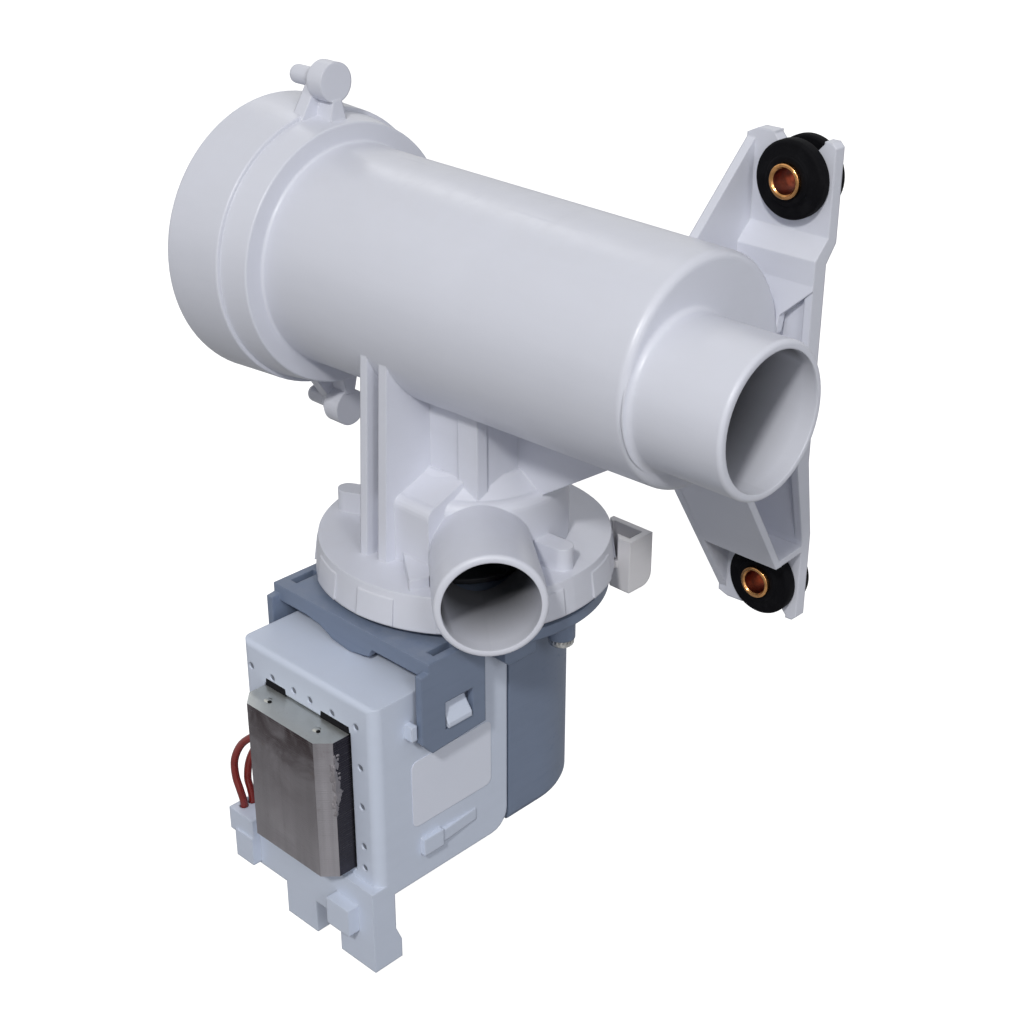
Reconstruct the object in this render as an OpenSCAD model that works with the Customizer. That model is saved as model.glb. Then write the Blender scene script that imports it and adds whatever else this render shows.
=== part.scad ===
// Washer drain pump: a filter tube over a centrifugal pump head, driven by a small magnet-rotor motor.
// Working frame: Z up along the motor axis, X along the filter tube towards the inlet spigot,
// zero at the top face of the pump head's round disc. place() then moves everything to the
// midpoint of the two bracket sleeves, on the plane where their rear ends meet the cabinet.

/* [Filter tube] */
// Height of the tube's axis above the disc
tube_z = 67.5; // [64:0.5:72]
// Outside radius of the tube where it leaves the collar
tube_r0 = 30.3; // [29:0.1:31]
// Outside radius of the tube at its closed end
tube_r1 = 28.4; // [27.8:0.1:29]
// Position of the tube's closed end along X
tube_end_x = 78.6; // [76:0.2:84]
// Wall of the housing's tubes
wall = 2.5; // [2.2:0.1:2.7]

/* [Collar] */
// Position of the open mouth along X
mouth_x = -72.5; // [-76:0.5:-71.5]
// Outside radius at the mouth
mouth_r = 39.3; // [39:0.1:41]
// Distance of the lug barrels from the tube's axis
lug_offset = 45.9; // [45:0.1:50]
// Radius of the lug barrels
lug_r = 5.3; // [5:0.1:6.5]
// Radius of the front pins
pin_r = 2.55; // [2:0.05:3]
// Length of the front pins
pin_len = 7.3; // [5:0.1:9]

/* [Inlet] */
// Outside radius of the inlet spigot
inlet_r = 18.4; // [17.6:0.1:18.8]
// Length of the inlet spigot
inlet_len = 25.4; // [18:0.2:30]
// Sideways offset of the inlet from the tube's axis
inlet_y = -8.3; // [-9:0.1:-4]
// Height of the inlet's axis above the disc
inlet_z = 65.7; // [64:0.1:68]

/* [Pump head] */
// Radius of the round disc
disc_r = 40; // [39:0.2:42]
// Height of the disc's skirt
skirt_h = 10; // [9:0.2:10.2]
// Outside radius of the volute chamber
volute_r = 24.8; // [23:0.1:25]
// Height of the volute chamber above the disc
volute_h = 18.6; // [18:0.1:20]
// Offset of the volute chamber from the motor axis, in X and in Y
volute_off = 2.5; // [1.5:0.1:3]
// Outside radius of the outlet spigot at its rim
outlet_r = 14.4; // [14:0.1:15]
// Bore radius of the outlet spigot at its rim
outlet_bore_r = 12.5; // [11:0.1:12.7]
// Distance from the motor axis to the outlet's rim
outlet_reach = 52.6; // [46:0.1:60]
// Direction of the outlet, measured from X
outlet_angle = -40; // [-46:0.2:-36]
// Sideways offset of the outlet from the motor axis
outlet_off = 2.4; // [1:0.1:4]
// Height of the outlet's axis above the disc
outlet_z = 4.5; // [4:0.1:5]
// Bore radius of the suction duct
duct_bore_r = 10; // [8:0.1:10.4]

/* [Bracket] */
// Distance between the two sleeve bores
bolt_span = 105; // [100:1:110]
// Position of the sleeves along X
sleeve_x = 75.9; // [74:0.1:77]
// Height of the lower sleeve above the disc
sleeve_low_z = 0.3; // [-1:0.1:1]
// Bore radius of the metal sleeves
sleeve_bore_r = 3.1; // [2.5:0.05:3.3]
// Outside radius of the metal sleeves
sleeve_r = 4.2; // [4:0.05:4.6]
// Radius of the rubber grommets
grommet_r = 9.4; // [9:0.1:9.6]

/* [Motor] */
// Width of the stator cover
cover_w = 52.6; // [52.6:0.2:53.4]
// Front face of the stator cover along Y
cover_front_y = -58.3; // [-60:0.1:-58]
// Height of the lamination stack
stack_h = 42; // [40:0.5:43]
// Radius of the rotor magnet
magnet_r = 12.6; // [12:0.1:12.7]
// Radius of the rotor shaft
shaft_r = 3; // [2.5:0.1:3.2]
// Radius of the impeller
impeller_r = 17; // [14:0.2:17.2]
// Number of impeller blades
blades = 6; // [3:1:8]

/* [Filter] */
// Outside radius of the filter basket
basket_r = 24.6; // [23:0.1:24.6]
// Advance of the cap's thread in one turn
thread_lead = 18; // [12:1:18]
// Turn that opens the cap, in degrees
cap_turn = 95; // [60:5:95]

/* [Hidden] */
$fn = 96;

// Colours
white_grey = [0.82, 0.83, 0.87];
cover_grey = [0.68, 0.72, 0.77];
slate = [0.37, 0.42, 0.5];
warm_grey = [0.68, 0.67, 0.66];
rubber_black = [0.06, 0.06, 0.07];
copper = [0.75, 0.42, 0.16];
steel = [0.62, 0.61, 0.6];
dark_steel = [0.42, 0.4, 0.39];
lead_red = [0.6, 0.14, 0.12];
bobbin_cream = [0.85, 0.82, 0.7];
seal_grey = [0.16, 0.16, 0.17];

// Collar and tube
collar_root_x = -52;
collar_root_r = mouth_r - 1.1;
collar_bore_r = mouth_r - 3;
collar_front_x = -43;
waist_x = -50;
shoulder_x = -47.5;
collar_step = 1.1;
collar_taper = 1.3;
crisp_round = 0.5;
edge_round = 2;
lug_face_x = -45.9;
lug_back_x = -55.5;
lug_cone = 4;
lug_plate_t = 4.2;
tube_bore_r0 = tube_r0 - wall;
tube_bore_r1 = tube_r1 - wall;
rail_half = 1.2;
rail_r = basket_r + 0.4;
inlet_bore_r = inlet_r - 2;
fillet = 1.6;

// Pump head
disc_t = 2.5;
skirt_wall = 2.2;
skirt_flare = 1;
pad_angle = 16.5;
pad_count = 11;
pad_phase = -88;
pad_raise = 0.5;
ring_r = 26;
ring_bore_r = 23;
ring_low_z = -10.6;
ring_shelf_z = -3;
volute_wall = 2.5;
volute_round = 3;
volute_roof_z = volute_h - 2.6;
roof_rise = 4.2;
roof_r = 16;
chamber_front_y = -volute_r - 1;
duct_left_x = -12.2;
duct_right_x = 17.6;
duct_front_y = -12.4;
duct_back_y = 12.2;
duct_edge = 1.2;
strip_out = 0.6;
strip_w = 7.2;
peg_radius_at = 34.5;
peg_angles = [3, 104, 205];
peg_r = 3.6;
peg_top_r = 2.9;
peg_h = 6.4;
outlet_root = 12;
outlet_draft = 1.1;
outlet_free = 8;
rim_round = 1.1;
screw_r = 1.7;
screw_play = 0.05;
screw_top_z = 4;
rib_front_y = -30;
rib_top_z = 58;
rib_lean = 2.8;
rib_back_y = -8;
rib_one_x = -9;
rib_one_t = 2.5;
rib_two_x = -2.8;
rib_two_t = 3;
gusset_y = 2.6;
gusset_t = 2.2;
lock_x = 0.525 * disc_r;
lock_y = 0.71 * disc_r;

// Bracket
web_t = 3.3;
front_lip = 3.5;
rear_lip = 3;
seat_y = 34.5;
sleeve_front_y = seat_y - front_lip - 1.8;
sleeve_back_y = seat_y + web_t + rear_lip + 0.2;
sleeve_high_z = sleeve_low_z + bolt_span;
sleeve_mid_z = (sleeve_low_z + sleeve_high_z) / 2;
grommet_hub_r = 6.1;
slot_r = grommet_hub_r + 0.2;
slot_throat = 3.9;
side_x = 61.1;
side_t = 2.4;
flange_out_x = 86;
rim_t = 2.2;
web_step = 4.6;
step_play = 7.2;
upper_ramp_z = sleeve_high_z - grommet_r - step_play - 0.4;
middle_y = 31.1;
lower_bend_z = 35;
shelf_z = sleeve_low_z + grommet_r + 0.3;
shelf_t = 1.8;
tip_reach = 9.6;

// Motor
plate_top_z = -12;
plate_t = 3.2;
plate_half_w = cover_w / 2 + 4.2;
plate_front_y = -43;
plate_r = disc_r - 0.3;
plug_r = ring_bore_r - 0.3;
plug_top_z = -9.5;
lip_low_z = -16.7;
arm_t = 2.2;
arm_front_y = -45.6;
arm_back_y = -23;
arm_low_z = -38.9;
window = [-37.4, -27.5, -34, -25.7];
boss_low_z = -21;
ear_low_z = -22.3;
screw_head_r = 3.5;
screw_head_h = 2.4;
cover_half = cover_w / 2;
cover_back_y = -10.7;
cover_top_z = -21;
cover_low_z = -80.5;
cover_wall = 2.5;
cover_door_z = cover_low_z + 4.5;
label_w = 29;
label_h = 20.6;
label_y = cover_front_y + 26.8;
label_z = cover_low_z + 27.8;
stack_top_z = -31.7;
stack_low_z = stack_top_z - stack_h;
yoke_front_y = cover_front_y - 9.1;
yoke_back_y = cover_front_y + 0.9;
yoke_half = 16.9;
yoke_chamfer = 3.6;
leg_in_x = 6.9;
bobbin_play = 0.2;
bobbin_wall = 1;
coil_build = 3;
bobbin_front_y = -55.2;
bobbin_back_y = -20;
bobbin_lip = 1.2;
can_bore_r = magnet_r + 1.2;
can_r = can_bore_r + 1;
pole_bore_r = can_r + 0.4;
pole_out_x = cover_half - 2.5;
can_low_z = -77.6;
can_floor = 1.2;
hood_y = 3;
hood_gap = 0.8;
hood_low_z = -80;
hood_top_z = plate_top_z - plate_t - 0.2;
hood_wall = 2;
hood_steps = [[0, 2.2], [0.25, 1.1], [0.9, 0.4], [1.8, 0]];
connector_low_z = -92;
shell_top_z = -76.5;
foot_front_y = cover_front_y - 2.7;
foot_low_z = -102.6;
tab_xs = [-6, 6];
tab_half = 3.15;
tab_t = 0.8;
tab_y = -55;

// Rotor and impeller
run_play = 0.05;
shaft_low_z = -76;
shaft_top_z = 9.4;
magnet_low_z = -70.8;
magnet_top_z = -32.8;
jacket_t = 0.6;
holder_low_z = -30;
holder_top_z = -14;
front_bearing_r = 5.5;
front_bearing_z = -28.6;
bearing_h = 5.6;
seal_r = 8;
rear_bearing_r = 6;
rear_bearing_h = 4.4;
hub_r = 8.2;
hub_bore_r = 6.4;
impeller_low_z = -8.5;
impeller_plate_t = 1.4;
dog_low_z = -6.4;
dog_top_z = 1.8;
hub_roof_z = 2.4;
hub_top_z = 6.4;
blade_t = 1.6;
dog_w = 3.2;
dog_r = 4.4;

// Filter
cap_plate_x = -66;
cap_plate_t = 2.8;
cap_r = collar_bore_r - 0.5;
skirt_out_r = 33.6;
skirt_in_r = 31.2;
skirt_end_x = -48.6;
ridge_r = 35.7;
ridge_t = 2.6;
ridge_lean = 1.06;
thread_angle = atan(thread_lead / (2 * PI * 34.8));
stop_lug_x = -61.5;
stop_lug_w = 3;
stop_lug_r = skirt_out_r + 0.4;
stop_lug_angle = 12;
thread_play = 0.45;
ridge_x = stop_lug_x + stop_lug_w + thread_play;
cap_plug_r = tube_bore_r0 - 0.6;
cap_plug_x = -41.6;
plug_wall = 3.4;
seal_x = -44.2;
seal_ring_r = 1.3;
seal_play = 0.3;
cap_hub_r = 8.5;
stub_r = 5;
stub_head_r = 5.5;
basket_x = -41;
basket_end_x = 52;
basket_wall = 1.8;
handle_t = 7;
handle_end_x = -71;

// Leads: route points chosen by hand, from the cover's side to the strain relief
lead_r = 1.1;
lead_x = -cover_half;
front_route = [
    [lead_x + 1.3, -54.5, -54], [lead_x - 1.2, -55.5, -54.5], [lead_x - 4.2, -58, -57.5],
    [lead_x - 5.2, -60, -62], [lead_x - 4.7, -60.5, -67], [lead_x - 3.2, -60.5, -71],
    [lead_x - 2.3, -60.2, -75], [lead_x - 2.3, -60.2, -78]
];
rear_route = [
    [lead_x + 1.3, -50.5, -57], [lead_x - 1.2, -51.5, -57.5], [lead_x - 3.2, -54, -60],
    [lead_x - 4, -56, -64], [lead_x - 4, -57, -69], [lead_x - 2.9, -57.2, -72],
    [lead_x - 2.3, -57.2, -75], [lead_x - 2.3, -57.2, -78]
];

function arc(cx, cy, r, a0, a1, n = 6) =
    [for (i = [0:n]) let (a = a0 + (a1 - a0) * i / n) [cx + r * cos(a), cy + r * sin(a)]];

module place() translate([-sleeve_x, -sleeve_back_y, -sleeve_mid_z]) children();

// Turns children drawn along Z to lie along X on the filter tube's axis
module on_tube_axis() translate([0, 0, tube_z]) rotate([0, 90, 0]) children();

// Turns children drawn along Z to lie along Y, pointing away from the motor's front
module along_y() rotate([-90, 0, 0]) children();

// Extrudes an outline drawn in the XZ plane from y0 to y1
module slab_xz(y0, y1) translate([0, y1, 0]) rotate([90, 0, 0]) linear_extrude(y1 - y0) children();

// Extrudes an outline drawn in the YZ plane from x0 to x1
module slab_yz(x0, x1) translate([x0, 0, 0]) rotate([90, 0, 90]) linear_extrude(x1 - x0) children();

module ring(r_out, r_in, h) difference() {
    cylinder(r = r_out, h = h);
    translate([0, 0, -1]) cylinder(r = r_in, h = h + 2);
}

// A box between two corners
module block(a, b) translate(a) cube(b - a);

// A rectangle with round corners, centred, built without offsets so that its corners stay true
module round_rect(w, d, r) union() {
    square([w - 2 * r, d], center = true);
    square([w, d - 2 * r], center = true);
    for (sx = [-1, 1], sy = [-1, 1]) translate([sx * (w / 2 - r), sy * (d / 2 - r)]) circle(r = r);
}

// Pump housing

module tube_outside() on_tube_axis() rotate_extrude() polygon(concat(
    [[0, mouth_x]],
    arc(mouth_r - 1.2, mouth_x + 1.2, 1.2, -90, 0, 4),
    arc(collar_root_r - crisp_round, collar_root_x - crisp_round, crisp_round, 0, 90, 4),
    [[collar_root_r - collar_step, collar_root_x]],
    arc(collar_root_r - collar_step - collar_taper - crisp_round, collar_front_x - crisp_round,
        crisp_round, 0, 90, 4),
    arc(tube_r0 + 0.8, collar_front_x + 0.8, 0.8, 270, 180, 4),
    [[tube_r1, tube_end_x - edge_round]],
    arc(tube_r1 - edge_round, tube_end_x - edge_round, edge_round, 0, 90, 5),
    [[0, tube_end_x]]
));

module tube_inside() on_tube_axis() rotate_extrude() polygon([
    [0, mouth_x - 1],
    [collar_bore_r, mouth_x - 1],
    [collar_bore_r, waist_x],
    [skirt_out_r + 0.8, waist_x],
    [skirt_out_r + 0.8, shoulder_x],
    [tube_bore_r0, shoulder_x],
    [tube_bore_r1, tube_end_x - wall],
    [0, tube_end_x - wall]
]);

// One lug barrel with its pin, plate and rib; side is 1 above the tube and -1 below it
module mounting_lug(side) translate([0, 0, tube_z]) rotate([side > 0 ? 0 : 180, 0, 0]) {
    translate([0, 0, lug_offset]) rotate([0, 90, 0]) rotate_extrude() polygon(concat(
        [[0, lug_back_x - pin_len]],
        arc(pin_r - 1.6, lug_back_x - pin_len + 1.6, 1.6, -90, 0, 4),
        [[pin_r, lug_back_x], [lug_r, lug_back_x + lug_cone], [lug_r, lug_face_x], [0, lug_face_x]]
    ));
    slab_yz(lug_back_x, lug_back_x + lug_plate_t)
        polygon([[-9, 34.5], [9, 34.5], [pin_r - 0.3, lug_offset - 1], [0.3 - pin_r, lug_offset - 1]]);
    slab_yz(lug_back_x + 1, lug_face_x + 0.3)
        polygon([[-3, 35], [3, 35], [1.4, lug_offset - lug_r + 0.8], [-1.4, lug_offset - lug_r + 0.8]]);
}

module inlet_outside() translate([0, inlet_y, inlet_z]) rotate([0, 90, 0]) {
    rotate_extrude() polygon(concat(
        [[0, tube_end_x - 6], [inlet_r, tube_end_x - 6]],
        arc(inlet_r - rim_round, tube_end_x + inlet_len - rim_round, rim_round, 0, 90, 5),
        [[0, tube_end_x + inlet_len]]
    ));
    translate([0, 0, tube_end_x]) rotate_extrude() polygon(concat(
        [[inlet_r - 1, -0.5], [inlet_r + fillet, -0.5]],
        arc(inlet_r + fillet, fillet, fillet, 270, 180, 5),
        [[inlet_r - 1, fillet]]
    ));
}

module inlet_inside() translate([tube_end_x - wall - 1, inlet_y, inlet_z]) rotate([0, 90, 0])
    cylinder(r = inlet_bore_r, h = inlet_len + wall + 2);

// Turns children drawn along X to lie along the outlet
module on_outlet() rotate([0, 0, outlet_angle]) translate([0, outlet_off, outlet_z]) children();

module head_outside() {
    // Disc and skirt, with the low pads round the skirt
    translate([0, 0, -disc_t]) cylinder(r = disc_r, h = disc_t);
    difference() {
        translate([0, 0, -skirt_h]) cylinder(r1 = disc_r + skirt_flare, r2 = disc_r, h = skirt_h);
        translate([0, 0, -skirt_h - 1]) cylinder(r = disc_r - skirt_wall, h = skirt_h + 1 - disc_t);
    }
    for (i = [0:pad_count - 1])
        rotate([0, 0, pad_phase + i * 2 * pad_angle])
            rotate_extrude(angle = pad_angle)
                polygon([
                    [disc_r - 1, -skirt_h + 0.4],
                    [disc_r + skirt_flare + pad_raise, -skirt_h + 0.4],
                    [disc_r + pad_raise, -2.2],
                    [disc_r - 1, -1.7]
                ]);
    // Ring under the disc that meets the motor's gasket
    translate([0, 0, ring_low_z]) cylinder(r = ring_r, h = -ring_low_z);
    // Volute chamber
    translate([volute_off, volute_off, 0]) rotate_extrude() polygon(concat(
        [[0, -disc_t], [volute_r, -disc_t]],
        arc(volute_r - volute_round, volute_h - volute_round, volute_round, 0, 90, 5),
        [[roof_r, volute_h + roof_rise], [0, volute_h + roof_rise]]
    ));
    // Flat front of the chamber, from the ribs to the outlet
    slab_yz(rib_two_x, outlet_root + 1) polygon(concat(
        [[0, -disc_t], [chamber_front_y, -disc_t]],
        arc(chamber_front_y + volute_round, volute_h - volute_round, volute_round, 180, 90, 5),
        [[duct_front_y, volute_h + roof_rise - 0.1], [0, volute_h + roof_rise - 0.1]]
    ));
    // Suction duct
    translate([(duct_left_x + duct_right_x) / 2, (duct_front_y + duct_back_y) / 2, 2])
        linear_extrude(tube_z - 20)
            round_rect(duct_right_x - duct_left_x, duct_back_y - duct_front_y, duct_edge);
    // Outlet spigot
    on_outlet() rotate([0, 90, 0]) rotate_extrude() polygon(concat(
        [[0, outlet_root - outlet_r + outlet_draft]],
        arc(0, outlet_root, outlet_r - outlet_draft, -80, 0, 8),
        [[outlet_r, outlet_reach - outlet_free - rim_round]],
        arc(outlet_r - rim_round, outlet_reach - rim_round, rim_round, 0, 90, 5),
        [[0, outlet_reach]]
    ));
    // Blind bosses for the screws, flat towards the motor axis
    for (a = peg_angles)
        rotate([0, 0, a]) {
            translate([peg_radius_at, 0, ring_low_z]) cylinder(r = peg_r, h = -ring_low_z - 1);
            translate([peg_radius_at, 0, -2]) cylinder(r = peg_top_r, h = peg_h + 2);
            block([peg_radius_at - 7.4, -peg_top_r, -2], [peg_radius_at, peg_top_r, peg_h]);
        }
}

module head_inside() {
    translate([volute_off, volute_off, ring_shelf_z - 1])
        cylinder(r = volute_r - volute_wall, h = volute_roof_z - ring_shelf_z + 1);
    translate([0, 0, ring_low_z - 1]) cylinder(r = ring_bore_r, h = ring_shelf_z - ring_low_z + 1);
    translate([0, 0, ring_shelf_z]) cylinder(r = duct_bore_r, h = tube_z - ring_shelf_z - 10);
    on_outlet() rotate([0, 90, 0])
        cylinder(r1 = outlet_bore_r - outlet_draft, r2 = outlet_bore_r, h = outlet_reach + 1);
    for (a = peg_angles)
        rotate([0, 0, a]) translate([peg_radius_at, 0, ring_low_z - 1])
            cylinder(r = screw_r + screw_play, h = screw_top_z + 1 - ring_low_z + 0.6);
}

// Side of an upright rib whose front edge leans back towards the top
module rib_side(front_y) polygon([
    [front_y, -1], [front_y + rib_lean, rib_top_z], [rib_back_y, rib_top_z], [rib_back_y, -1]
]);

module head_ribs() {
    slab_yz(rib_one_x, rib_one_x + rib_one_t) rib_side(rib_front_y);
    slab_yz(rib_two_x, rib_two_x + rib_two_t) rib_side(rib_front_y + 0.6);
    block([rib_one_x, rib_front_y + 5, -1], [rib_two_x + 1, rib_front_y + 6.6, 16]);
    // Raised strip at the duct's front corner
    block([duct_right_x + strip_out - strip_w, duct_front_y - strip_out, 4],
        [duct_right_x + strip_out, duct_front_y + 3, 45]);
    // Gusset from the volute chamber to the tube
    slab_xz(gusset_y, gusset_y + gusset_t) polygon([
        [duct_right_x - 2, 12], [volute_r + 0.5, volute_h - 1.6], [58.4, tube_z - tube_r0 + 1.5],
        [58.4, tube_z - 27.5], [duct_right_x - 2, tube_z - 27]
    ]);
    // Low wedge beside the outlet
    linear_extrude(3) polygon([[-6, -19], [15.4, -35], [17.5, -30], [6, -16]]);
}

// Outline of the bracket's web seen from the front
module bracket_outline() polygon([
    [side_x, sleeve_high_z + tip_reach - 1.5],
    [side_x + 3, sleeve_high_z + tip_reach],
    [flange_out_x - 1.2, sleeve_high_z + tip_reach],
    [flange_out_x, sleeve_high_z + tip_reach - 1.2],
    [flange_out_x, sleeve_low_z - tip_reach + 1.2],
    [flange_out_x - 1.2, sleeve_low_z - tip_reach],
    [side_x + 3, sleeve_low_z - tip_reach - 1],
    [side_x, sleeve_low_z - tip_reach]
]);

// Section of the web: seats at the arm tips, stepped forward round the tube
module web_section() polygon([
    [seat_y, 200],
    [seat_y, upper_ramp_z + web_step],
    [seat_y - web_step, upper_ramp_z],
    [seat_y - web_step, upper_ramp_z - 8],
    [middle_y, upper_ramp_z - 8],
    [middle_y, lower_bend_z],
    [seat_y, shelf_z + 4],
    [seat_y, -100],
    [seat_y + web_t, -100],
    [seat_y + web_t, shelf_z + 5],
    [middle_y + web_t, lower_bend_z + 1],
    [middle_y + web_t, upper_ramp_z - 1.6],
    [seat_y + web_t, upper_ramp_z + 2.8],
    [seat_y + web_t, 200]
]);

module bracket() {
    intersection() {
        slab_xz(0, 60) bracket_outline();
        slab_yz(side_x, flange_out_x) web_section();
    }
    // Rim down the open side of the middle
    slab_yz(flange_out_x - rim_t, flange_out_x) polygon([
        [seat_y - web_step, upper_ramp_z], [seat_y - web_step, lower_bend_z], [seat_y, shelf_z + 4],
        [seat_y + 1, shelf_z + 4], [middle_y + 1, lower_bend_z], [middle_y + 1, upper_ramp_z]
    ]);
    // Left side wall, a gusset to each arm tip
    slab_yz(side_x, side_x + side_t) polygon([
        [seat_y + web_t, sleeve_high_z + tip_reach - 1.5], [seat_y + 1, sleeve_high_z + tip_reach - 1.5],
        [14.2, tube_z + 25], [4, tube_z + 15], [4, tube_z - 24], [14.4, tube_z - 41.8],
        [seat_y + 1, sleeve_low_z - tip_reach], [seat_y + web_t, sleeve_low_z - tip_reach],
        [seat_y + web_t, shelf_z + 5], [middle_y + web_t, lower_bend_z + 1],
        [middle_y + web_t, upper_ramp_z - 1.6], [seat_y + web_t, upper_ramp_z + 2.8]
    ]);
    // Plate from the upper step down to the tube's back, cut off at a slant beyond the tube's end
    intersection() {
        slab_yz(side_x, flange_out_x) polygon([
            [seat_y - web_step, upper_ramp_z - 6], [seat_y - web_step - 2.8, tube_z + 2],
            [seat_y - web_step - 0.4, tube_z + 2], [seat_y - web_step + 2.4, upper_ramp_z - 6]
        ]);
        slab_xz(20, 40) polygon([
            [side_x, upper_ramp_z], [flange_out_x, upper_ramp_z], [flange_out_x, upper_ramp_z - 7.2],
            [tube_end_x - 0.2, tube_z + 6.4], [tube_end_x - 0.2, tube_z], [side_x, tube_z]
        ]);
    }
    // Sloping plate under the tube, flush with the side wall's front edge
    slab_yz(side_x, flange_out_x) polygon([
        [5, tube_z - 25.9], [23.9, shelf_z], [26.3, shelf_z], [7.4, tube_z - 25.9]
    ]);
    // Shelf under it
    slab_yz(side_x, flange_out_x) polygon([
        [23.9, shelf_z], [seat_y + 1, shelf_z + 0.8], [seat_y + 1, shelf_z + 0.8 + shelf_t],
        [23.5, shelf_z + shelf_t]
    ]);
    // Rib between the tube's back and the web
    block([side_x, 20, tube_z - 1.5], [tube_end_x - 2, middle_y + 1, tube_z + 1.5]);
}

// Open slots that the grommets' necks snap into, wide at the mouth
module bracket_slots() for (side = [1, -1])
    translate([sleeve_x, 0, sleeve_mid_z + side * bolt_span / 2]) rotate([0, side > 0 ? 0 : 180, 0]) {
        translate([0, seat_y - 1, 0]) along_y() cylinder(r = slot_r, h = web_t + 2);
        slab_xz(seat_y - 1, seat_y + web_t + 1) polygon([
            [-slot_throat, 0], [-slot_throat, 5.6], [-slot_throat - 3, 9], [-slot_throat - 3, 20],
            [slot_throat + 3, 20], [slot_throat + 3, 9], [slot_throat, 5.6], [slot_throat, 0]
        ]);
    }

module pump_housing() color(white_grey) place() {
    difference() {
        union() {
            tube_outside();
            mounting_lug(1);
            mounting_lug(-1);
            inlet_outside();
            head_outside();
            head_ribs();
            difference() {
                bracket();
                bracket_slots();
            }
        }
        tube_inside();
        inlet_inside();
        head_inside();
    }
    // Guide rail along the top of the tube's bore
    block([cap_plug_x + 1, -rail_half, tube_z + rail_r], [basket_end_x, rail_half, tube_z + tube_bore_r1 + 2]);
    // Stop lugs that the cap's ridges run behind
    for (i = [0:2])
        on_tube_axis() rotate([0, 0, i * 120]) translate([0, 0, stop_lug_x])
            rotate([thread_angle, 0, 0]) rotate([0, 0, -stop_lug_angle / 2])
                rotate_extrude(angle = stop_lug_angle)
                    translate([stop_lug_r, 0]) square([collar_bore_r + 0.6 - stop_lug_r, stop_lug_w]);
}

module lock_clip() color(warm_grey) place() difference() {
    union() {
        slab_yz(lock_x, lock_x + 14.2) polygon(concat(
            [[lock_y, -3], [lock_y + 9.4, -3]],
            arc(lock_y + 5.9, -15.2, 3.5, 0, -90, 5),
            [[lock_y, -18.7]]
        ));
        // Tongue under the skirt
        rotate([0, 0, 48]) block([disc_r - 4, -4, plate_top_z - 0.2], [disc_r + 2.5, 4, -skirt_h + 0.1]);
    }
    // Room for the skirt above the tongue and for the motor's plate below it
    translate([0, 0, -skirt_h - 0.05]) cylinder(r = disc_r + skirt_flare + 0.9, h = 20);
    translate([0, 0, -30]) cylinder(r = plate_r + 0.35, h = 30 + plate_top_z + 0.05);
    block([lock_x + 2, lock_y + 2, -16.5], [lock_x + 12.2, lock_y + 7.4, -2]);
}

// Grommets and sleeves

module grommet(z) color(rubber_black) place() translate([sleeve_x, seat_y - front_lip, z]) along_y()
    rotate_extrude() polygon(concat(
        [[sleeve_r + 0.02, -0.6], [sleeve_r + 1.6, -0.5]],
        arc(grommet_r - 1, 1, 1, -90, 0, 3),
        arc(grommet_r - 0.6, front_lip - 0.6, 0.6, 0, 90, 2),
        [[grommet_hub_r, front_lip], [grommet_hub_r, front_lip + web_t]],
        arc(grommet_r - 0.6, front_lip + web_t + 0.6, 0.6, -90, 0, 2),
        arc(grommet_r - 1, front_lip + web_t + rear_lip - 1, 1, 0, 90, 3),
        [[sleeve_r + 0.02, front_lip + web_t + rear_lip]]
    ));

module sleeve(z) color(copper) place() translate([sleeve_x, sleeve_front_y, z]) along_y()
    ring(sleeve_r, sleeve_bore_r, sleeve_back_y - sleeve_front_y);

module upper_grommet() grommet(sleeve_high_z);
module lower_grommet() grommet(sleeve_low_z);
module upper_sleeve() sleeve(sleeve_high_z);
module lower_sleeve() sleeve(sleeve_low_z);

// Screws and gasket

module housing_screws() color(steel) place()
    for (a = peg_angles)
        rotate([0, 0, a]) translate([peg_radius_at, 0, 0]) difference() {
            union() {
                translate([0, 0, boss_low_z - screw_head_h]) cylinder(r = screw_head_r, h = screw_head_h);
                translate([0, 0, boss_low_z - 0.1]) cylinder(r = screw_r, h = screw_top_z - boss_low_z);
            }
            for (t = [0, 90])
                rotate([0, 0, t]) translate([0, 0, boss_low_z - screw_head_h])
                    cube([3.6, 0.9, 2.4], center = true);
        }

module flange_gasket() color(seal_grey) place() translate([0, 0, plate_top_z])
    ring(ring_r - 0.2, ring_bore_r + 0.2, ring_low_z - plate_top_z);

// Motor flange with the rotor can

module latch_arm() difference() {
    slab_yz(plate_half_w - arm_t, plate_half_w) polygon([
        [arm_back_y, plate_top_z], [arm_front_y, plate_top_z - 3], [arm_front_y, arm_low_z + 4],
        [arm_front_y + 3.4, arm_low_z], [arm_back_y, arm_low_z + 1]
    ]);
    block([plate_half_w - arm_t - 1, window[0], window[2]], [plate_half_w + 1, window[1], window[3]]);
}

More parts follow.
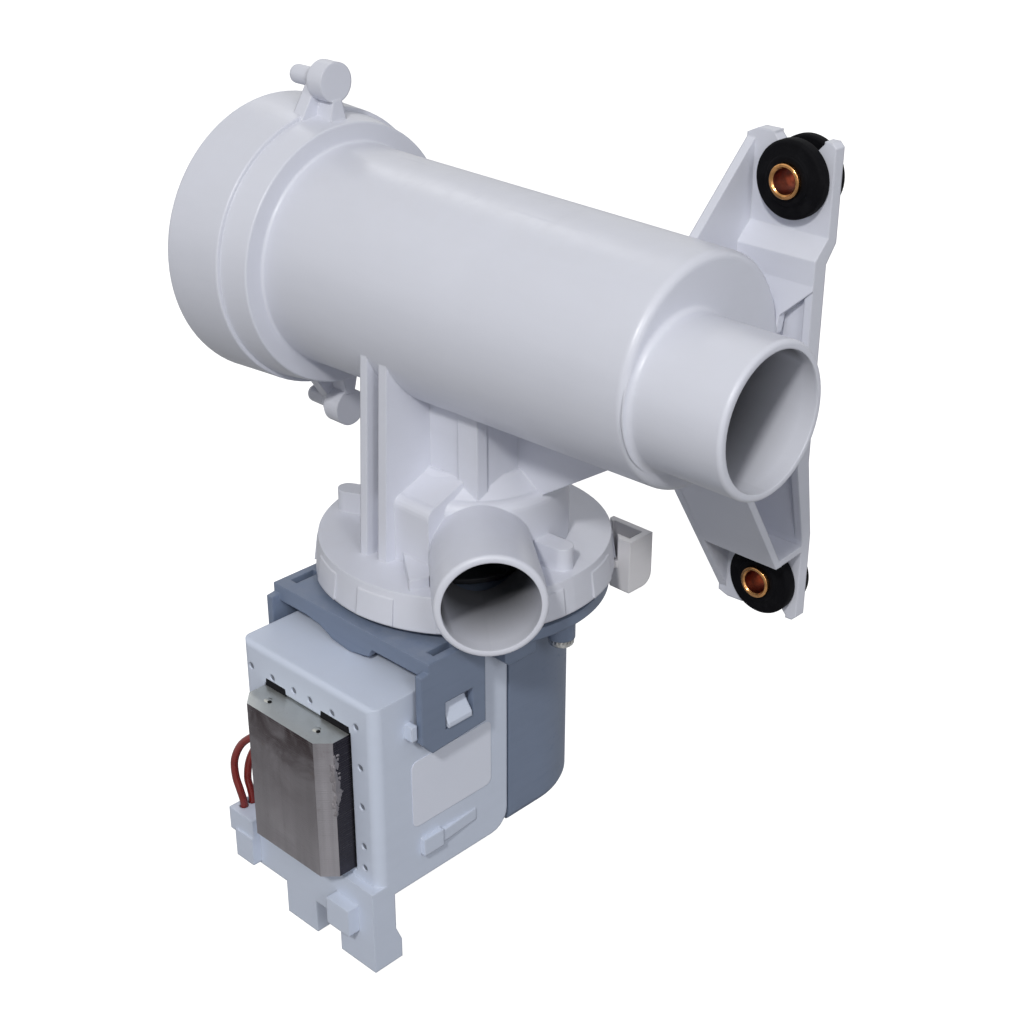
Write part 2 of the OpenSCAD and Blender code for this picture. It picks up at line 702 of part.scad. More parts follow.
module motor_flange() color(slate) place() difference() {
    union() {
        // Plate and its round rim
        translate([0, 0, plate_top_z - plate_t]) cylinder(r = plate_r, h = plate_t);
        block([-plate_half_w, plate_front_y, plate_top_z - plate_t], [plate_half_w, 0, plate_top_z]);
        // Front lip with its tongue
        slab_xz(plate_front_y, plate_front_y + 2.4) polygon([
            [-plate_half_w, plate_top_z - 1], [-plate_half_w, lip_low_z], [-17.5, lip_low_z], [-11.7, -17.6],
            [-6.6, -19.9], [0, -20.8], [7.7, -19.3], [9.1, lip_low_z], [plate_half_w, lip_low_z],
            [plate_half_w, plate_top_z - 1]
        ]);
        latch_arm();
        mirror([1, 0, 0]) latch_arm();
        // Centring plug and rotor can
        translate([0, 0, plate_top_z - 1]) cylinder(r = plug_r, h = plug_top_z - plate_top_z + 1);
        translate([0, 0, can_low_z]) cylinder(r = can_r, h = plate_top_z - can_low_z - 1);
        // Screw bosses
        for (a = peg_angles)
            rotate([0, 0, a]) translate([peg_radius_at, 0, boss_low_z])
                cylinder(r = peg_r + 0.2, h = plate_top_z - boss_low_z);
        // Block under the plate, beside the hood
        slab_yz(cover_half + 0.3, cover_half + 7.4) polygon([
            [-7, plate_top_z - 1], [-7, ear_low_z], [-17.2, ear_low_z], [-18.8, ear_low_z + 1.6],
            [-18.8, plate_top_z - 1]
        ]);
    }
    translate([0, 0, can_low_z + can_floor]) cylinder(r = can_bore_r, h = 100);
    for (a = peg_angles)
        rotate([0, 0, a]) translate([peg_radius_at, 0, boss_low_z - 1])
            cylinder(r = screw_r + 0.15, h = 20);
    // Slots beside the latch arms
    for (s = [-1, 1])
        translate([s * (plate_half_w - 3.6), -35, -20]) cube([2.6, 8, 40], center = true);
}

// A half-round outline with straight sides, open towards the front
module hood_outline(r, front_y) intersection() {
    union() {
        translate([0, hood_y]) circle(r = r);
        translate([-r, front_y]) square([2 * r, hood_y - front_y]);
    }
    translate([-r, front_y]) square([2 * r, 60]);
}

module pole_hood() color(slate) place() difference() {
    union() {
        translate([0, 0, hood_low_z + 3]) linear_extrude(hood_top_z - hood_low_z - 3)
            hood_outline(cover_half, cover_back_y + hood_gap);
        for (step = hood_steps)
            translate([0, 0, hood_low_z + step[0]]) linear_extrude(3.2 - step[0])
                hood_outline(cover_half - step[1], cover_back_y + hood_gap);
    }
    translate([0, 0, hood_low_z + hood_wall]) linear_extrude(100)
        hood_outline(cover_half - hood_wall, cover_back_y - 5);
}

// Stator

module cover_profile(inset) polygon(concat(
    [[cover_back_y, cover_top_z - inset]],
    arc(cover_front_y + 1.5 + inset, cover_top_z - 1.5 - inset, 1.5, 90, 180, 4),
    [[cover_front_y + inset, cover_low_z + inset]],
    arc(cover_back_y - 6, cover_low_z + 6 + inset, 6, 270, 360, 5)
));

module cover_feet() {
    // Connector shell under the cover, closed at the right by the foot
    block([lead_x + 4.3, foot_front_y, connector_low_z], [13.6, -47, shell_top_z]);
    block([13.6, foot_front_y, connector_low_z], [cover_half, -53.2, shell_top_z]);
    // Feet, the right one wider at its end
    block([-10.2, foot_front_y, foot_low_z], [2.4, -54.3, connector_low_z + 1]);
    slab_yz(12.4, cover_half) polygon([
        [foot_front_y, foot_low_z], [-51.3, foot_low_z], [-51.3, foot_low_z + 6],
        [-53.2, connector_low_z], [-53.2, connector_low_z + 1], [foot_front_y, connector_low_z + 1]
    ]);
    // Snap block on the right foot
    block([11.6, foot_front_y - 3.8, -91.5], [20.4, foot_front_y + 1, -83]);
    // Strain relief for the leads
    block([lead_x - 4.9, -63.4, -83.4], [lead_x + 5.3, -54.6, -76.2]);
    block([lead_x - 2.1, -64, -91], [lead_x + 5.3, -55.5, -82]);
}

module stator_cover() color(cover_grey) place() difference() {
    union() {
        intersection() {
            slab_yz(-cover_half, cover_half) cover_profile(0);
            translate([0, (cover_front_y + cover_back_y) / 2 + 5, cover_low_z - 1]) linear_extrude(100)
                round_rect(cover_w, cover_back_y - cover_front_y + 10, 3);
        }
        cover_feet();
        // Latch nubs, sloped on top, and the small stops in front of the latch arms
        for (s = [-1, 1]) {
            scale([s, 1, 1]) slab_xz(window[0] + 0.6, window[1] - 0.9) polygon([
                [cover_half - 1, window[2] + 0.4], [plate_half_w + 0.5, window[2] + 0.4],
                [plate_half_w + 0.5, window[2] + 1.8], [cover_half + 0.6, window[3] - 0.6],
                [cover_half - 1, window[3] - 0.6]
            ]);
            scale([s, 1, 1]) block([cover_half - 1, -48, -33.6], [cover_half + 2.8, -46.1, -29.2]);
        }
        // Keying tab below the label, thick in front and sloped off to the back
        block([cover_half - 1, -43.4, -72.7], [cover_half + 1.6, -36.4, -67.5]);
        translate([0, 0, -72]) linear_extrude(3.6) polygon([
            [cover_half - 1, -37], [cover_half + 1.3, -37], [cover_half + 0.3, -23], [cover_half - 1, -23]
        ]);
    }
    // Inside, open towards the poles
    intersection() {
        slab_yz(-cover_half + cover_wall, cover_half - cover_wall) union() {
            cover_profile(cover_wall - 0.4);
            translate([cover_back_y - 7, cover_door_z]) square([10, cover_top_z - cover_wall - cover_door_z]);
        }
        translate([-50, cover_front_y + cover_wall, cover_low_z + 2.1]) cube([100, 100, 100]);
    }
    // Room for the rotor can
    translate([0, 0, can_low_z - 0.4]) cylinder(r = can_r + 0.4, h = 100);
    // Opening for the yoke
    block([-yoke_half - 0.5, cover_front_y - 1, stack_low_z - 0.6],
        [yoke_half + 0.5, cover_front_y + cover_wall + 1, stack_top_z + 0.6]);
    // Connector socket, open below
    block([-18, foot_front_y + 2, connector_low_z - 1], [12, -49, -82.4]);
    // Slots for the tab terminals
    for (x = tab_xs)
        translate([x, tab_y, -78]) cube([2 * tab_half + 0.06, tab_t + 0.06, 16], center = true);
    // Lead holes
    for (route = [front_route, rear_route]) {
        translate([-cover_half - 1, route[0][1] - 0.2, route[0][2]]) rotate([0, 90, 0]) cylinder(r = 1.5, h = 5);
        translate([route[7][0], route[7][1], -79]) cylinder(r = 1.3, h = 10);
    }
    // Shallow ejector dots
    for (x = [-22.5, -13.7, -4.9, 1.6, 10.3, 19.6])
        translate([x, cover_front_y - 1, -28.3]) along_y() cylinder(r = 1, h = 1.4);
    for (z = [-40.2, -52.4, -65, -72])
        translate([20.6, cover_front_y - 1, z]) along_y() cylinder(r = 1, h = 1.4);
}

module core_yoke() color(dark_steel) place() translate([0, 0, stack_low_z]) linear_extrude(stack_h)
    polygon([
        [-yoke_half, yoke_back_y], [-yoke_half, yoke_front_y + yoke_chamfer],
        [-yoke_half + yoke_chamfer, yoke_front_y], [yoke_half - yoke_chamfer, yoke_front_y],
        [yoke_half, yoke_front_y + yoke_chamfer], [yoke_half, yoke_back_y]
    ]);

module pole_core(s) color(dark_steel) place() translate([0, 0, stack_low_z]) linear_extrude(stack_h)
    scale([s, 1]) difference() {
        union() {
            translate([leg_in_x, yoke_back_y]) square([yoke_half - leg_in_x, -12 - yoke_back_y]);
            polygon([[leg_in_x - 2.9, -18], [yoke_half, -18], [pole_out_x, -11],
                [pole_out_x, 4], [pole_out_x - 2.2, 12.5], [pole_out_x - 6.8, 18], [6, 18]]);
        }
        circle(r = pole_bore_r);
    }

module left_pole_core() pole_core(-1);
module right_pole_core() pole_core(1);

// Section of a bobbin or coil round one core leg, grown outwards by g
module leg_section(g) square([yoke_half - leg_in_x + 2 * g, stack_h + 2 * g], center = true);

module on_leg(s) translate([s * (yoke_half + leg_in_x) / 2, 0, (stack_top_z + stack_low_z) / 2])
    rotate([90, 0, 0]) children();

module bobbin(s) color(bobbin_cream) place() on_leg(s) difference() {
    union() {
        translate([0, 0, -bobbin_back_y]) linear_extrude(bobbin_back_y - bobbin_front_y)
            leg_section(bobbin_play + bobbin_wall);
        for (z = [-bobbin_back_y, -bobbin_front_y - bobbin_lip])
            translate([0, 0, z]) linear_extrude(bobbin_lip)
                leg_section(bobbin_play + bobbin_wall + coil_build);
    }
    translate([0, 0, -bobbin_back_y - 1]) linear_extrude(60) leg_section(bobbin_play);
}

module coil(s) color(copper) place() on_leg(s)
    translate([0, 0, -bobbin_back_y + bobbin_lip + 0.1])
        linear_extrude(bobbin_back_y - bobbin_front_y - 2 * bobbin_lip - 0.2) difference() {
            leg_section(bobbin_play + bobbin_wall + coil_build - 0.3);
            leg_section(bobbin_play + bobbin_wall + 0.05);
        }

module left_bobbin() bobbin(-1);
module right_bobbin() bobbin(1);
module left_coil() coil(-1);
module right_coil() coil(1);

module tab_terminals() color(steel) place()
    for (x = tab_xs)
        difference() {
            block([x - tab_half, tab_y - tab_t / 2, -91], [x + tab_half, tab_y + tab_t / 2, -78.2]);
            translate([x, tab_y - 1, -88.4]) along_y() cylinder(r = 0.8, h = 2);
        }

// A cord of eight sides swept along a list of points
module cord(route, r) {
    n = len(route);
    sides = 8;
    function unit(v) = v / norm(v);
    function run(i) = unit(route[min(i + 1, n - 1)] - route[max(i - 1, 0)]);
    function across(i) = unit(cross(run(i), [0.3, 1, 0.2]));
    points = [for (i = [0:n - 1], k = [0:sides - 1])
        let (u = across(i), v = cross(run(i), u), a = 360 * k / sides)
            route[i] + r * (cos(a) * u + sin(a) * v)];
    walls = [for (i = [0:n - 2], k = [0:sides - 1], half = [0, 1])
        let (j = (k + 1) % sides, a = i * sides, b = a + sides)
            half == 0 ? [a + k, a + j, b + j] : [a + k, b + j, b + k]];
    first = [for (k = [0:sides - 1]) sides - 1 - k];
    last = [for (k = [0:sides - 1]) (n - 1) * sides + k];
    polyhedron(points, concat([first], walls, [last]));
}

module front_red_lead() color(lead_red) place() cord(front_route, lead_r);
module rear_red_lead() color(lead_red) place() cord(rear_route, lead_r);

module rating_label() color("white") place() translate([cover_half, label_y, label_z]) rotate([90, 0, 90])
    linear_extrude(0.2) round_rect(label_w, label_h, 2);

// Bearings and seal

module bearing_holder() color(bobbin_cream) place() difference() {
    translate([0, 0, holder_low_z]) cylinder(r = can_bore_r - 0.03, h = holder_top_z - holder_low_z);
    translate([0, 0, holder_low_z - 1]) cylinder(r = shaft_r + 0.6, h = 40);
    translate([0, 0, front_bearing_z]) cylinder(r = front_bearing_r + 0.02, h = bearing_h + 0.02);
    translate([0, 0, holder_low_z - 1]) cylinder(r = front_bearing_r - 0.8, h = 3);
    translate([0, 0, front_bearing_z + bearing_h + 1.4]) cylinder(r = seal_r + 0.02, h = 20);
    translate([0, 0, holder_low_z - 1]) ring(can_bore_r - 2, front_bearing_r + 2.5, 8);
}

module front_bearing() color(dark_steel) place() translate([0, 0, front_bearing_z])
    ring(front_bearing_r, shaft_r + run_play, bearing_h);

module shaft_seal() color(seal_grey) place() translate([0, 0, front_bearing_z + bearing_h + 1.42])
    rotate_extrude() polygon([
        [seal_r, 0], [seal_r, 5], [seal_r - 1.6, 5], [seal_r - 1.6, 1.6], [shaft_r + 2.4, 1.6],
        [shaft_r + 1, 4.6], [shaft_r + run_play, 4.2], [shaft_r + run_play, 3.4], [shaft_r + 1, 2.6],
        [shaft_r + 1, 0]
    ]);

module rear_bearing_cushion() color(seal_grey) place() translate([0, 0, can_low_z + can_floor])
    ring(can_bore_r - 0.05, rear_bearing_r + 0.02, rear_bearing_h);

module rear_bearing() color(dark_steel) place() translate([0, 0, can_low_z + can_floor + 0.05])
    ring(rear_bearing_r, shaft_r + run_play, rear_bearing_h - 0.1);

// Rotor

module rotor_shaft() color(steel) place() difference() {
    translate([0, 0, shaft_low_z]) cylinder(r = shaft_r, h = shaft_top_z - shaft_low_z);
    translate([0, 0, hub_top_z + 0.5]) ring(shaft_r + 1, shaft_r - 0.5, 1.1);
}

module rotor_magnet() color(dark_steel) place() translate([0, 0, magnet_low_z])
    ring(magnet_r - 0.02, shaft_r + 0.02, magnet_top_z - magnet_low_z);

module magnet_jacket() color(slate) place() difference() {
    translate([0, 0, magnet_low_z - 0.9])
        cylinder(r = magnet_r + jacket_t, h = magnet_top_z - magnet_low_z + 1.8);
    translate([0, 0, magnet_low_z - 0.02]) cylinder(r = magnet_r, h = magnet_top_z - magnet_low_z + 0.04);
    translate([0, 0, magnet_low_z - 5]) cylinder(r = shaft_r + 0.02, h = 60);
}

module drive_dog() color(slate) place() difference() {
    translate([0, 0, dog_low_z]) union() {
        cylinder(r = dog_r, h = dog_top_z - dog_low_z);
        block([0, -dog_w / 2, 0], [hub_bore_r - 0.35, dog_w / 2, dog_top_z - dog_low_z]);
    }
    translate([0, 0, dog_low_z - 1]) cylinder(r = shaft_r + 0.02, h = 20);
}

module shaft_clip() color(steel) place() difference() {
    translate([0, 0, hub_top_z + 0.6]) ring(shaft_r + 1.6, shaft_r - 0.4, 0.9);
    block([0, -1.6, 0], [10, 1.6, 20]);
}

// Impeller

module impeller() color(white_grey) place() difference() {
    union() {
        translate([0, 0, impeller_low_z]) cylinder(r = impeller_r, h = impeller_plate_t);
        translate([0, 0, impeller_low_z]) cylinder(r = hub_r, h = hub_top_z - impeller_low_z);
        for (i = [0:blades - 1])
            rotate([0, 0, i * 360 / blades])
                slab_xz(-blade_t / 2, blade_t / 2) polygon([
                    [hub_r - 1, impeller_low_z + 0.5], [impeller_r, impeller_low_z + 0.5],
                    [impeller_r, 8], [impeller_r - 3, 10], [hub_r - 1, hub_top_z - 1]
                ]);
    }
    difference() {
        translate([0, 0, impeller_low_z - 1]) cylinder(r = hub_bore_r, h = hub_roof_z - impeller_low_z + 1);
        // Stop inside the hub, opposite the dog
        block([-10, -dog_w / 2, dog_low_z - 0.3], [-dog_r - 0.4, dog_w / 2, 20]);
    }
    translate([0, 0, impeller_low_z - 1]) cylinder(r = shaft_r + run_play, h = 40);
}

module impeller_hub_cap() color(slate) place() translate([0, 0, impeller_low_z])
    ring(hub_bore_r - 0.05, shaft_r + run_play, dog_low_z - 0.4 - impeller_low_z);

// Filter

module filter_basket() color(white_grey) place() difference() {
    union() {
        on_tube_axis() {
            translate([0, 0, basket_x]) ring(basket_r, basket_r - basket_wall, basket_end_x - basket_x);
            translate([0, 0, basket_x]) cylinder(r = basket_r, h = 2);
            translate([0, 0, basket_x - 7.6]) cylinder(r = stub_r, h = 8);
            translate([0, 0, basket_x - 9.4]) cylinder(r = stub_head_r, h = 2);
        }
        for (s = [-1, 1])
            block([basket_x, min(s * 1.5, s * 3), tube_z + basket_r - 1.2],
                [basket_end_x - 2, max(s * 1.5, s * 3), tube_z + basket_r + 1.2]);
    }
    // Slots, three bays long and twelve round, left out where the guide ribs run
    on_tube_axis()
        for (bay = [0:2], i = [0:11])
            rotate([0, 0, 15 + i * 30])
                translate([basket_r, 0, basket_x + 8 + bay * 28 + 12])
                    cube([8, 7, 24], center = true);
}

// One ridge of the thread: a ring sector leaning about its middle, a little more than the helix does
module ridge() {
    a0 = -stop_lug_angle / 2 - 1;
    a1 = cap_turn + stop_lug_angle / 2;
    mid = (a0 + a1) / 2;
    rotate([0, 0, mid]) translate([0, 0, ridge_x + thread_lead * mid / 360])
        rotate([ridge_lean * thread_angle, 0, 0]) rotate([0, 0, a0 - mid])
            rotate_extrude(angle = a1 - a0)
                translate([skirt_out_r - 0.8, 0]) square([ridge_r - skirt_out_r + 0.8, ridge_t]);
}

module filter_cap() color(warm_grey) place() on_tube_axis() difference() {
    union() {
        translate([0, 0, cap_plate_x]) cylinder(r = cap_r, h = cap_plate_t);
        translate([0, 0, cap_plate_x + 1]) ring(skirt_out_r, skirt_in_r, skirt_end_x - cap_plate_x - 1);
        translate([0, 0, cap_plate_x + 1]) ring(cap_plug_r, cap_plug_r - plug_wall, cap_plug_x - cap_plate_x - 1);
        translate([0, 0, cap_plate_x + 1]) cylinder(r = cap_hub_r, h = cap_plug_x - cap_plate_x - 1);
        for (i = [0:2]) rotate([0, 0, i * 120]) ridge();
        // Grip bar
        block([-26, -handle_t / 2, handle_end_x], [26, handle_t / 2, cap_plate_x + 1]);
        for (i = [0:3])
            rotate([0, 0, 45 + 90 * i]) block([0, -1, cap_plate_x + 1], [cap_plug_r - 1, 1, -50]);
    }
    // Groove for the seal
    translate([0, 0, seal_x - seal_ring_r - 0.05])
        ring(cap_plug_r + 2, tube_bore_r0 - seal_play - 2 * seal_ring_r - 0.05, 2 * seal_ring_r + 0.1);
    // Snap bore for the basket's stub
    translate([0, 0, basket_x - 7.9]) cylinder(r = stub_r + 0.06, h = 20);
    translate([0, 0, basket_x - 10.4]) cylinder(r = stub_head_r + 0.25, h = 3.1);
}

module cap_seal() color(seal_grey) place() on_tube_axis() translate([0, 0, seal_x]) rotate_extrude()
    translate([tube_bore_r0 - seal_play - seal_ring_r, 0]) circle(r = seal_ring_r);

pump_housing();
lock_clip();
upper_grommet();
lower_grommet();
upper_sleeve();
lower_sleeve();
housing_screws();
flange_gasket();
motor_flange();
pole_hood();
stator_cover();
core_yoke();
left_pole_core();
right_pole_core();
left_bobbin();
right_bobbin();
left_coil();
right_coil();
tab_terminals();
front_red_lead();
rear_red_lead();
rating_label();
bearing_holder();
front_bearing();
shaft_seal();
rear_bearing_cushion();
rear_bearing();
rotor_shaft();
rotor_magnet();
magnet_jacket();
drive_dog();
shaft_clip();
impeller();
impeller_hub_cap();
filter_basket();
filter_cap();
cap_seal();
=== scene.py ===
"""Washer drain pump: studio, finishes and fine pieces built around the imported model."""

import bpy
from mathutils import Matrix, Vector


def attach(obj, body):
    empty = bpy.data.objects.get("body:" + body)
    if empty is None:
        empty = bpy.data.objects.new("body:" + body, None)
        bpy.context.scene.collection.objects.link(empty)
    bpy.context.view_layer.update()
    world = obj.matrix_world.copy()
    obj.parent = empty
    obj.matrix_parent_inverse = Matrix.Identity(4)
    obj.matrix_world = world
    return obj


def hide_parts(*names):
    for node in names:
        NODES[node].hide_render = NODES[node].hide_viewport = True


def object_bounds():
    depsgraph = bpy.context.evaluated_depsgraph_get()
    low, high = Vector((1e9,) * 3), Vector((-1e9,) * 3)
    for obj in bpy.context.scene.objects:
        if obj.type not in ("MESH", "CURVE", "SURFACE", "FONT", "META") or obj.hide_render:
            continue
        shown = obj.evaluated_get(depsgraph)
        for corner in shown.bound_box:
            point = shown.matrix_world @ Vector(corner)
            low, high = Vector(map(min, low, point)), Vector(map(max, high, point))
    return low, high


bl_info = {
    "name": "Washer Drain Pump",
    "version": (1, 0, 0),
    "blender": (4, 5, 0),
    "location": "View3D > Sidebar > Drain Pump",
    "description": "Builds the studio, finishes and fine pieces of a washer drain pump",
    "category": "Add Mesh",
}

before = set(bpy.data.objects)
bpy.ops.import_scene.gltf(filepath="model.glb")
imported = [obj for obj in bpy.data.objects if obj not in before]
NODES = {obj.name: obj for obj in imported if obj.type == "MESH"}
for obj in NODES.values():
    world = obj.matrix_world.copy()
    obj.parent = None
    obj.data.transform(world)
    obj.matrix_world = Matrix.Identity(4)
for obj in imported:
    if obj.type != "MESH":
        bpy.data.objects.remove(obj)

import math
import random

import bmesh
import bpy
from bpy.props import FloatProperty, FloatVectorProperty, PointerProperty
from mathutils import Vector

CAD_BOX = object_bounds()
MM = 0.001

# Places are in pump millimetres unless a comment says otherwise: Z up the motor's axis, X along
# the filter tube. The row's origin is halfway between the back ends of the two sleeves.
ORIGIN_MM = Vector((75.9, 41.0, 52.8))
BRACKET_X = 75.9
SLEEVE_HEIGHTS = (105.3, 0.3)
COVER_FRONT = -58.3

# The outlet's end: its way along the outlet's axis, its offset beside it and its height
OUTLET_ANGLE = -40.0
OUTLET_END = (52.6, 2.4, 4.5)
INLET_END = (104.0, -8.3, 65.7)
# Radius of each spigot's bore in metres, and the way to the side on which painted shade lies in it
OUTLET_BORE, OUTLET_SHADE_SIDE = 0.0126, (-0.4, -0.48, 0.78)
INLET_BORE, INLET_SHADE_SIDE = 0.0165, (0.0, -0.6, 0.8)


def at(x, y, z):
    """A place given in pump millimetres, in the row frame's metres."""
    return (Vector((x, y, z)) - ORIGIN_MM) * MM


# Sizes and colours that a user would change

class DrainPumpSizes(bpy.types.PropertyGroup):
    edge_radius: FloatProperty(
        name="Edge radius", description="Rounding of the moulded edges", default=0.0006,
        min=0.0, max=0.002, unit="LENGTH")
    sheet_pitch: FloatProperty(
        name="Sheet pitch", description="Thickness of one lamination with its gap",
        default=0.0007, min=0.0004, max=0.002, unit="LENGTH")
    wire_diameter: FloatProperty(
        name="Wire diameter", description="Thickness of the coils' enamelled wire",
        default=0.0009, min=0.0004, max=0.0012, unit="LENGTH")
    lead_diameter: FloatProperty(
        name="Lead diameter", description="Outside diameter of the red leads", default=0.0022,
        min=0.0016, max=0.0026, unit="LENGTH")
    lens: FloatProperty(
        name="Lens", description="Focal length of the camera in millimetres", default=60.16,
        min=30.0, max=120.0)


class DrainPumpColours(bpy.types.PropertyGroup):
    housing: FloatVectorProperty(
        name="Housing", description="Colour of the pump housing", subtype="COLOR", size=4,
        default=(0.66, 0.675, 0.745, 1.0), min=0.0, max=1.0)
    cover: FloatVectorProperty(
        name="Cover", description="Colour of the stator cover", subtype="COLOR", size=4,
        default=(0.595, 0.65, 0.765, 1.0), min=0.0, max=1.0)
    flange: FloatVectorProperty(
        name="Flange", description="Colour of the motor flange and hood", subtype="COLOR", size=4,
        default=(0.17, 0.212, 0.3, 1.0), min=0.0, max=1.0)
    cap: FloatVectorProperty(
        name="Cap", description="Colour of the filter cap and the lock clip", subtype="COLOR",
        size=4, default=(0.72, 0.71, 0.73, 1.0), min=0.0, max=1.0)
    lead: FloatVectorProperty(
        name="Lead", description="Colour of the leads' insulation", subtype="COLOR", size=4,
        default=(0.25, 0.014, 0.009, 1.0), min=0.0, max=1.0)
    rubber: FloatVectorProperty(
        name="Rubber", description="Colour of the grommets", subtype="COLOR", size=4,
        default=(0.003, 0.003, 0.004, 1.0), min=0.0, max=1.0)


def sizes():
    return bpy.context.scene.drain_pump_sizes


def colours():
    return bpy.context.scene.drain_pump_colours


# Node building

def add(tree, kind, values=None, **settings):
    """A node with its settings, and with values on its input sockets by name or number."""
    node = tree.nodes.new(kind)
    for name, value in settings.items():
        setattr(node, name, value)
    for key, value in (values or {}).items():
        node.inputs[key].default_value = value
    return node


def wire(tree, *pairs):
    for source, target in pairs:
        tree.links.new(source, target)


def group_tree(name, inputs, outputs):
    """A shader node group with named sockets; inputs hold (name, type, default)."""
    tree = bpy.data.node_groups.new(name, "ShaderNodeTree")
    for label, kind, default in inputs:
        socket = tree.interface.new_socket(label, in_out="INPUT", socket_type=kind)
        socket.default_value = default
    for label, kind in outputs:
        tree.interface.new_socket(label, in_out="OUTPUT", socket_type=kind)
    return tree, tree.nodes.new("NodeGroupInput"), tree.nodes.new("NodeGroupOutput")


def combined(tree, operation, first, second):
    """What a math operation makes of two sockets."""
    node = add(tree, "ShaderNodeMath", operation=operation)
    wire(tree, (first, node.inputs[0]), (second, node.inputs[1]))
    return node.outputs[0]


def scaled(tree, source, factor, plus=0.0):
    """source times factor, plus a number."""
    node = add(tree, "ShaderNodeMath", {1: factor, 2: plus}, operation="MULTIPLY_ADD")
    wire(tree, (source, node.inputs[0]))
    return node.outputs[0]


def spread(tree, source, low, high):
    """source from 0 at low to 1 at high, and level beyond them."""
    node = add(tree, "ShaderNodeMapRange", {"From Min": low, "From Max": high})
    wire(tree, (source, node.inputs["Value"]))
    return node.outputs["Result"]


def object_place(tree):
    """Object coordinates, which ride with the piece."""
    return add(tree, "ShaderNodeTexCoord").outputs["Object"]


def parts_of(tree, source):
    """The X, Y and Z of a direction or a place."""
    node = add(tree, "ShaderNodeSeparateXYZ")
    wire(tree, (source, node.inputs[0]))
    return node.outputs


def facing(tree):
    """The X, Y and Z of the way that the surface faces."""
    return parts_of(tree, add(tree, "ShaderNodeNewGeometry").outputs["Normal"])


def stretched(tree, place, scale, turn=(0.0, 0.0, 0.0)):
    """place turned and scaled, so that a noise read there gets a grain."""
    node = add(tree, "ShaderNodeMapping", {"Rotation": turn, "Scale": scale})
    wire(tree, (place, node.inputs["Vector"]))
    return node.outputs["Vector"]


def noise_of(tree, place, scale, detail, rough=0.5, distortion=0.0):
    node = add(tree, "ShaderNodeTexNoise",
               {"Scale": scale, "Detail": detail, "Roughness": rough, "Distortion": distortion})
    wire(tree, (place, node.inputs["Vector"]))
    return node.outputs["Fac"]


def ramp(tree, source, *stops):
    """source read through a black to white ramp whose stops hold (position, value)."""
    node = add(tree, "ShaderNodeValToRGB")
    elements = node.color_ramp.elements
    while len(elements) < len(stops):
        elements.new(0.5)
    for element, (position, value) in zip(elements, stops):
        element.position = position
        element.color = (value, value, value, 1.0)
    wire(tree, (source, node.inputs["Fac"]))
    return node.outputs["Color"]


def blend_colours(tree, factor, first, second):
    """first where factor is 0 and second where it is 1; each is a socket or a plain value."""
    node = add(tree, "ShaderNodeMix", data_type="RGBA")
    for value, socket in ((factor, 0), (first, 6), (second, 7)):
        if isinstance(value, bpy.types.NodeSocket):
            wire(tree, (value, node.inputs[socket]))
        else:
            node.inputs[socket].default_value = value
    return node.outputs[2]


def darker(colour, share):
    return tuple(share * c for c in colour[:3]) + (1.0,)


# Materials, whose lengths are in metres

DUST = (0.55, 0.53, 0.5, 1.0)
# Colour of the painted shade deep in the housing's bores and on their unlit side
BORE_SHADE_COLOUR = (0.05, 0.05, 0.055, 1.0)
# Tone that a darkened sheet's face turns to toward its top, in patches
DARKENING_TONE = (0.035, 0.02, 0.023, 1.0)
RUST = (0.13, 0.08, 0.055, 1.0)
# Painted shade on a darkened sheet's right side
SHADED_SIDE = (0.022, 0.02, 0.03, 1.0)
# Painted highlight on a darkened sheet's slanted corner, dull and bright
LIT_CORNER = ((0.3, 0.29, 0.31, 1.0), (0.75, 0.73, 0.78, 1.0))
RUBBER_BLOOM = (0.03, 0.03, 0.033, 1.0)
LABEL_TONES = ((0.7, 0.73, 0.83, 1.0), (0.75, 0.78, 0.87, 1.0))

BEVEL_SAMPLES = 6
SCRATCH_DENSITY = 0.12
# Scale and turn of the noises that the scratches are read from
SCRATCH_WAYS = (((900.0, 45.0, 900.0), (0.3, 0.8, 0.2)), ((40.0, 800.0, 800.0), (1.1, 0.1, 1.4)))
# A bore's painted shade from none to full: by depth, just inside the rim, and across to its side
BORE_SHADE_DEPTHS = (-0.004, -0.022)
BORE_SHADE_RIM = (-0.0008, -0.003)
BORE_SHADE_SIDE = (-0.001, 0.005)
BORE_SHADE_END = -0.034
BORE_SHADE_STRENGTH = 0.9


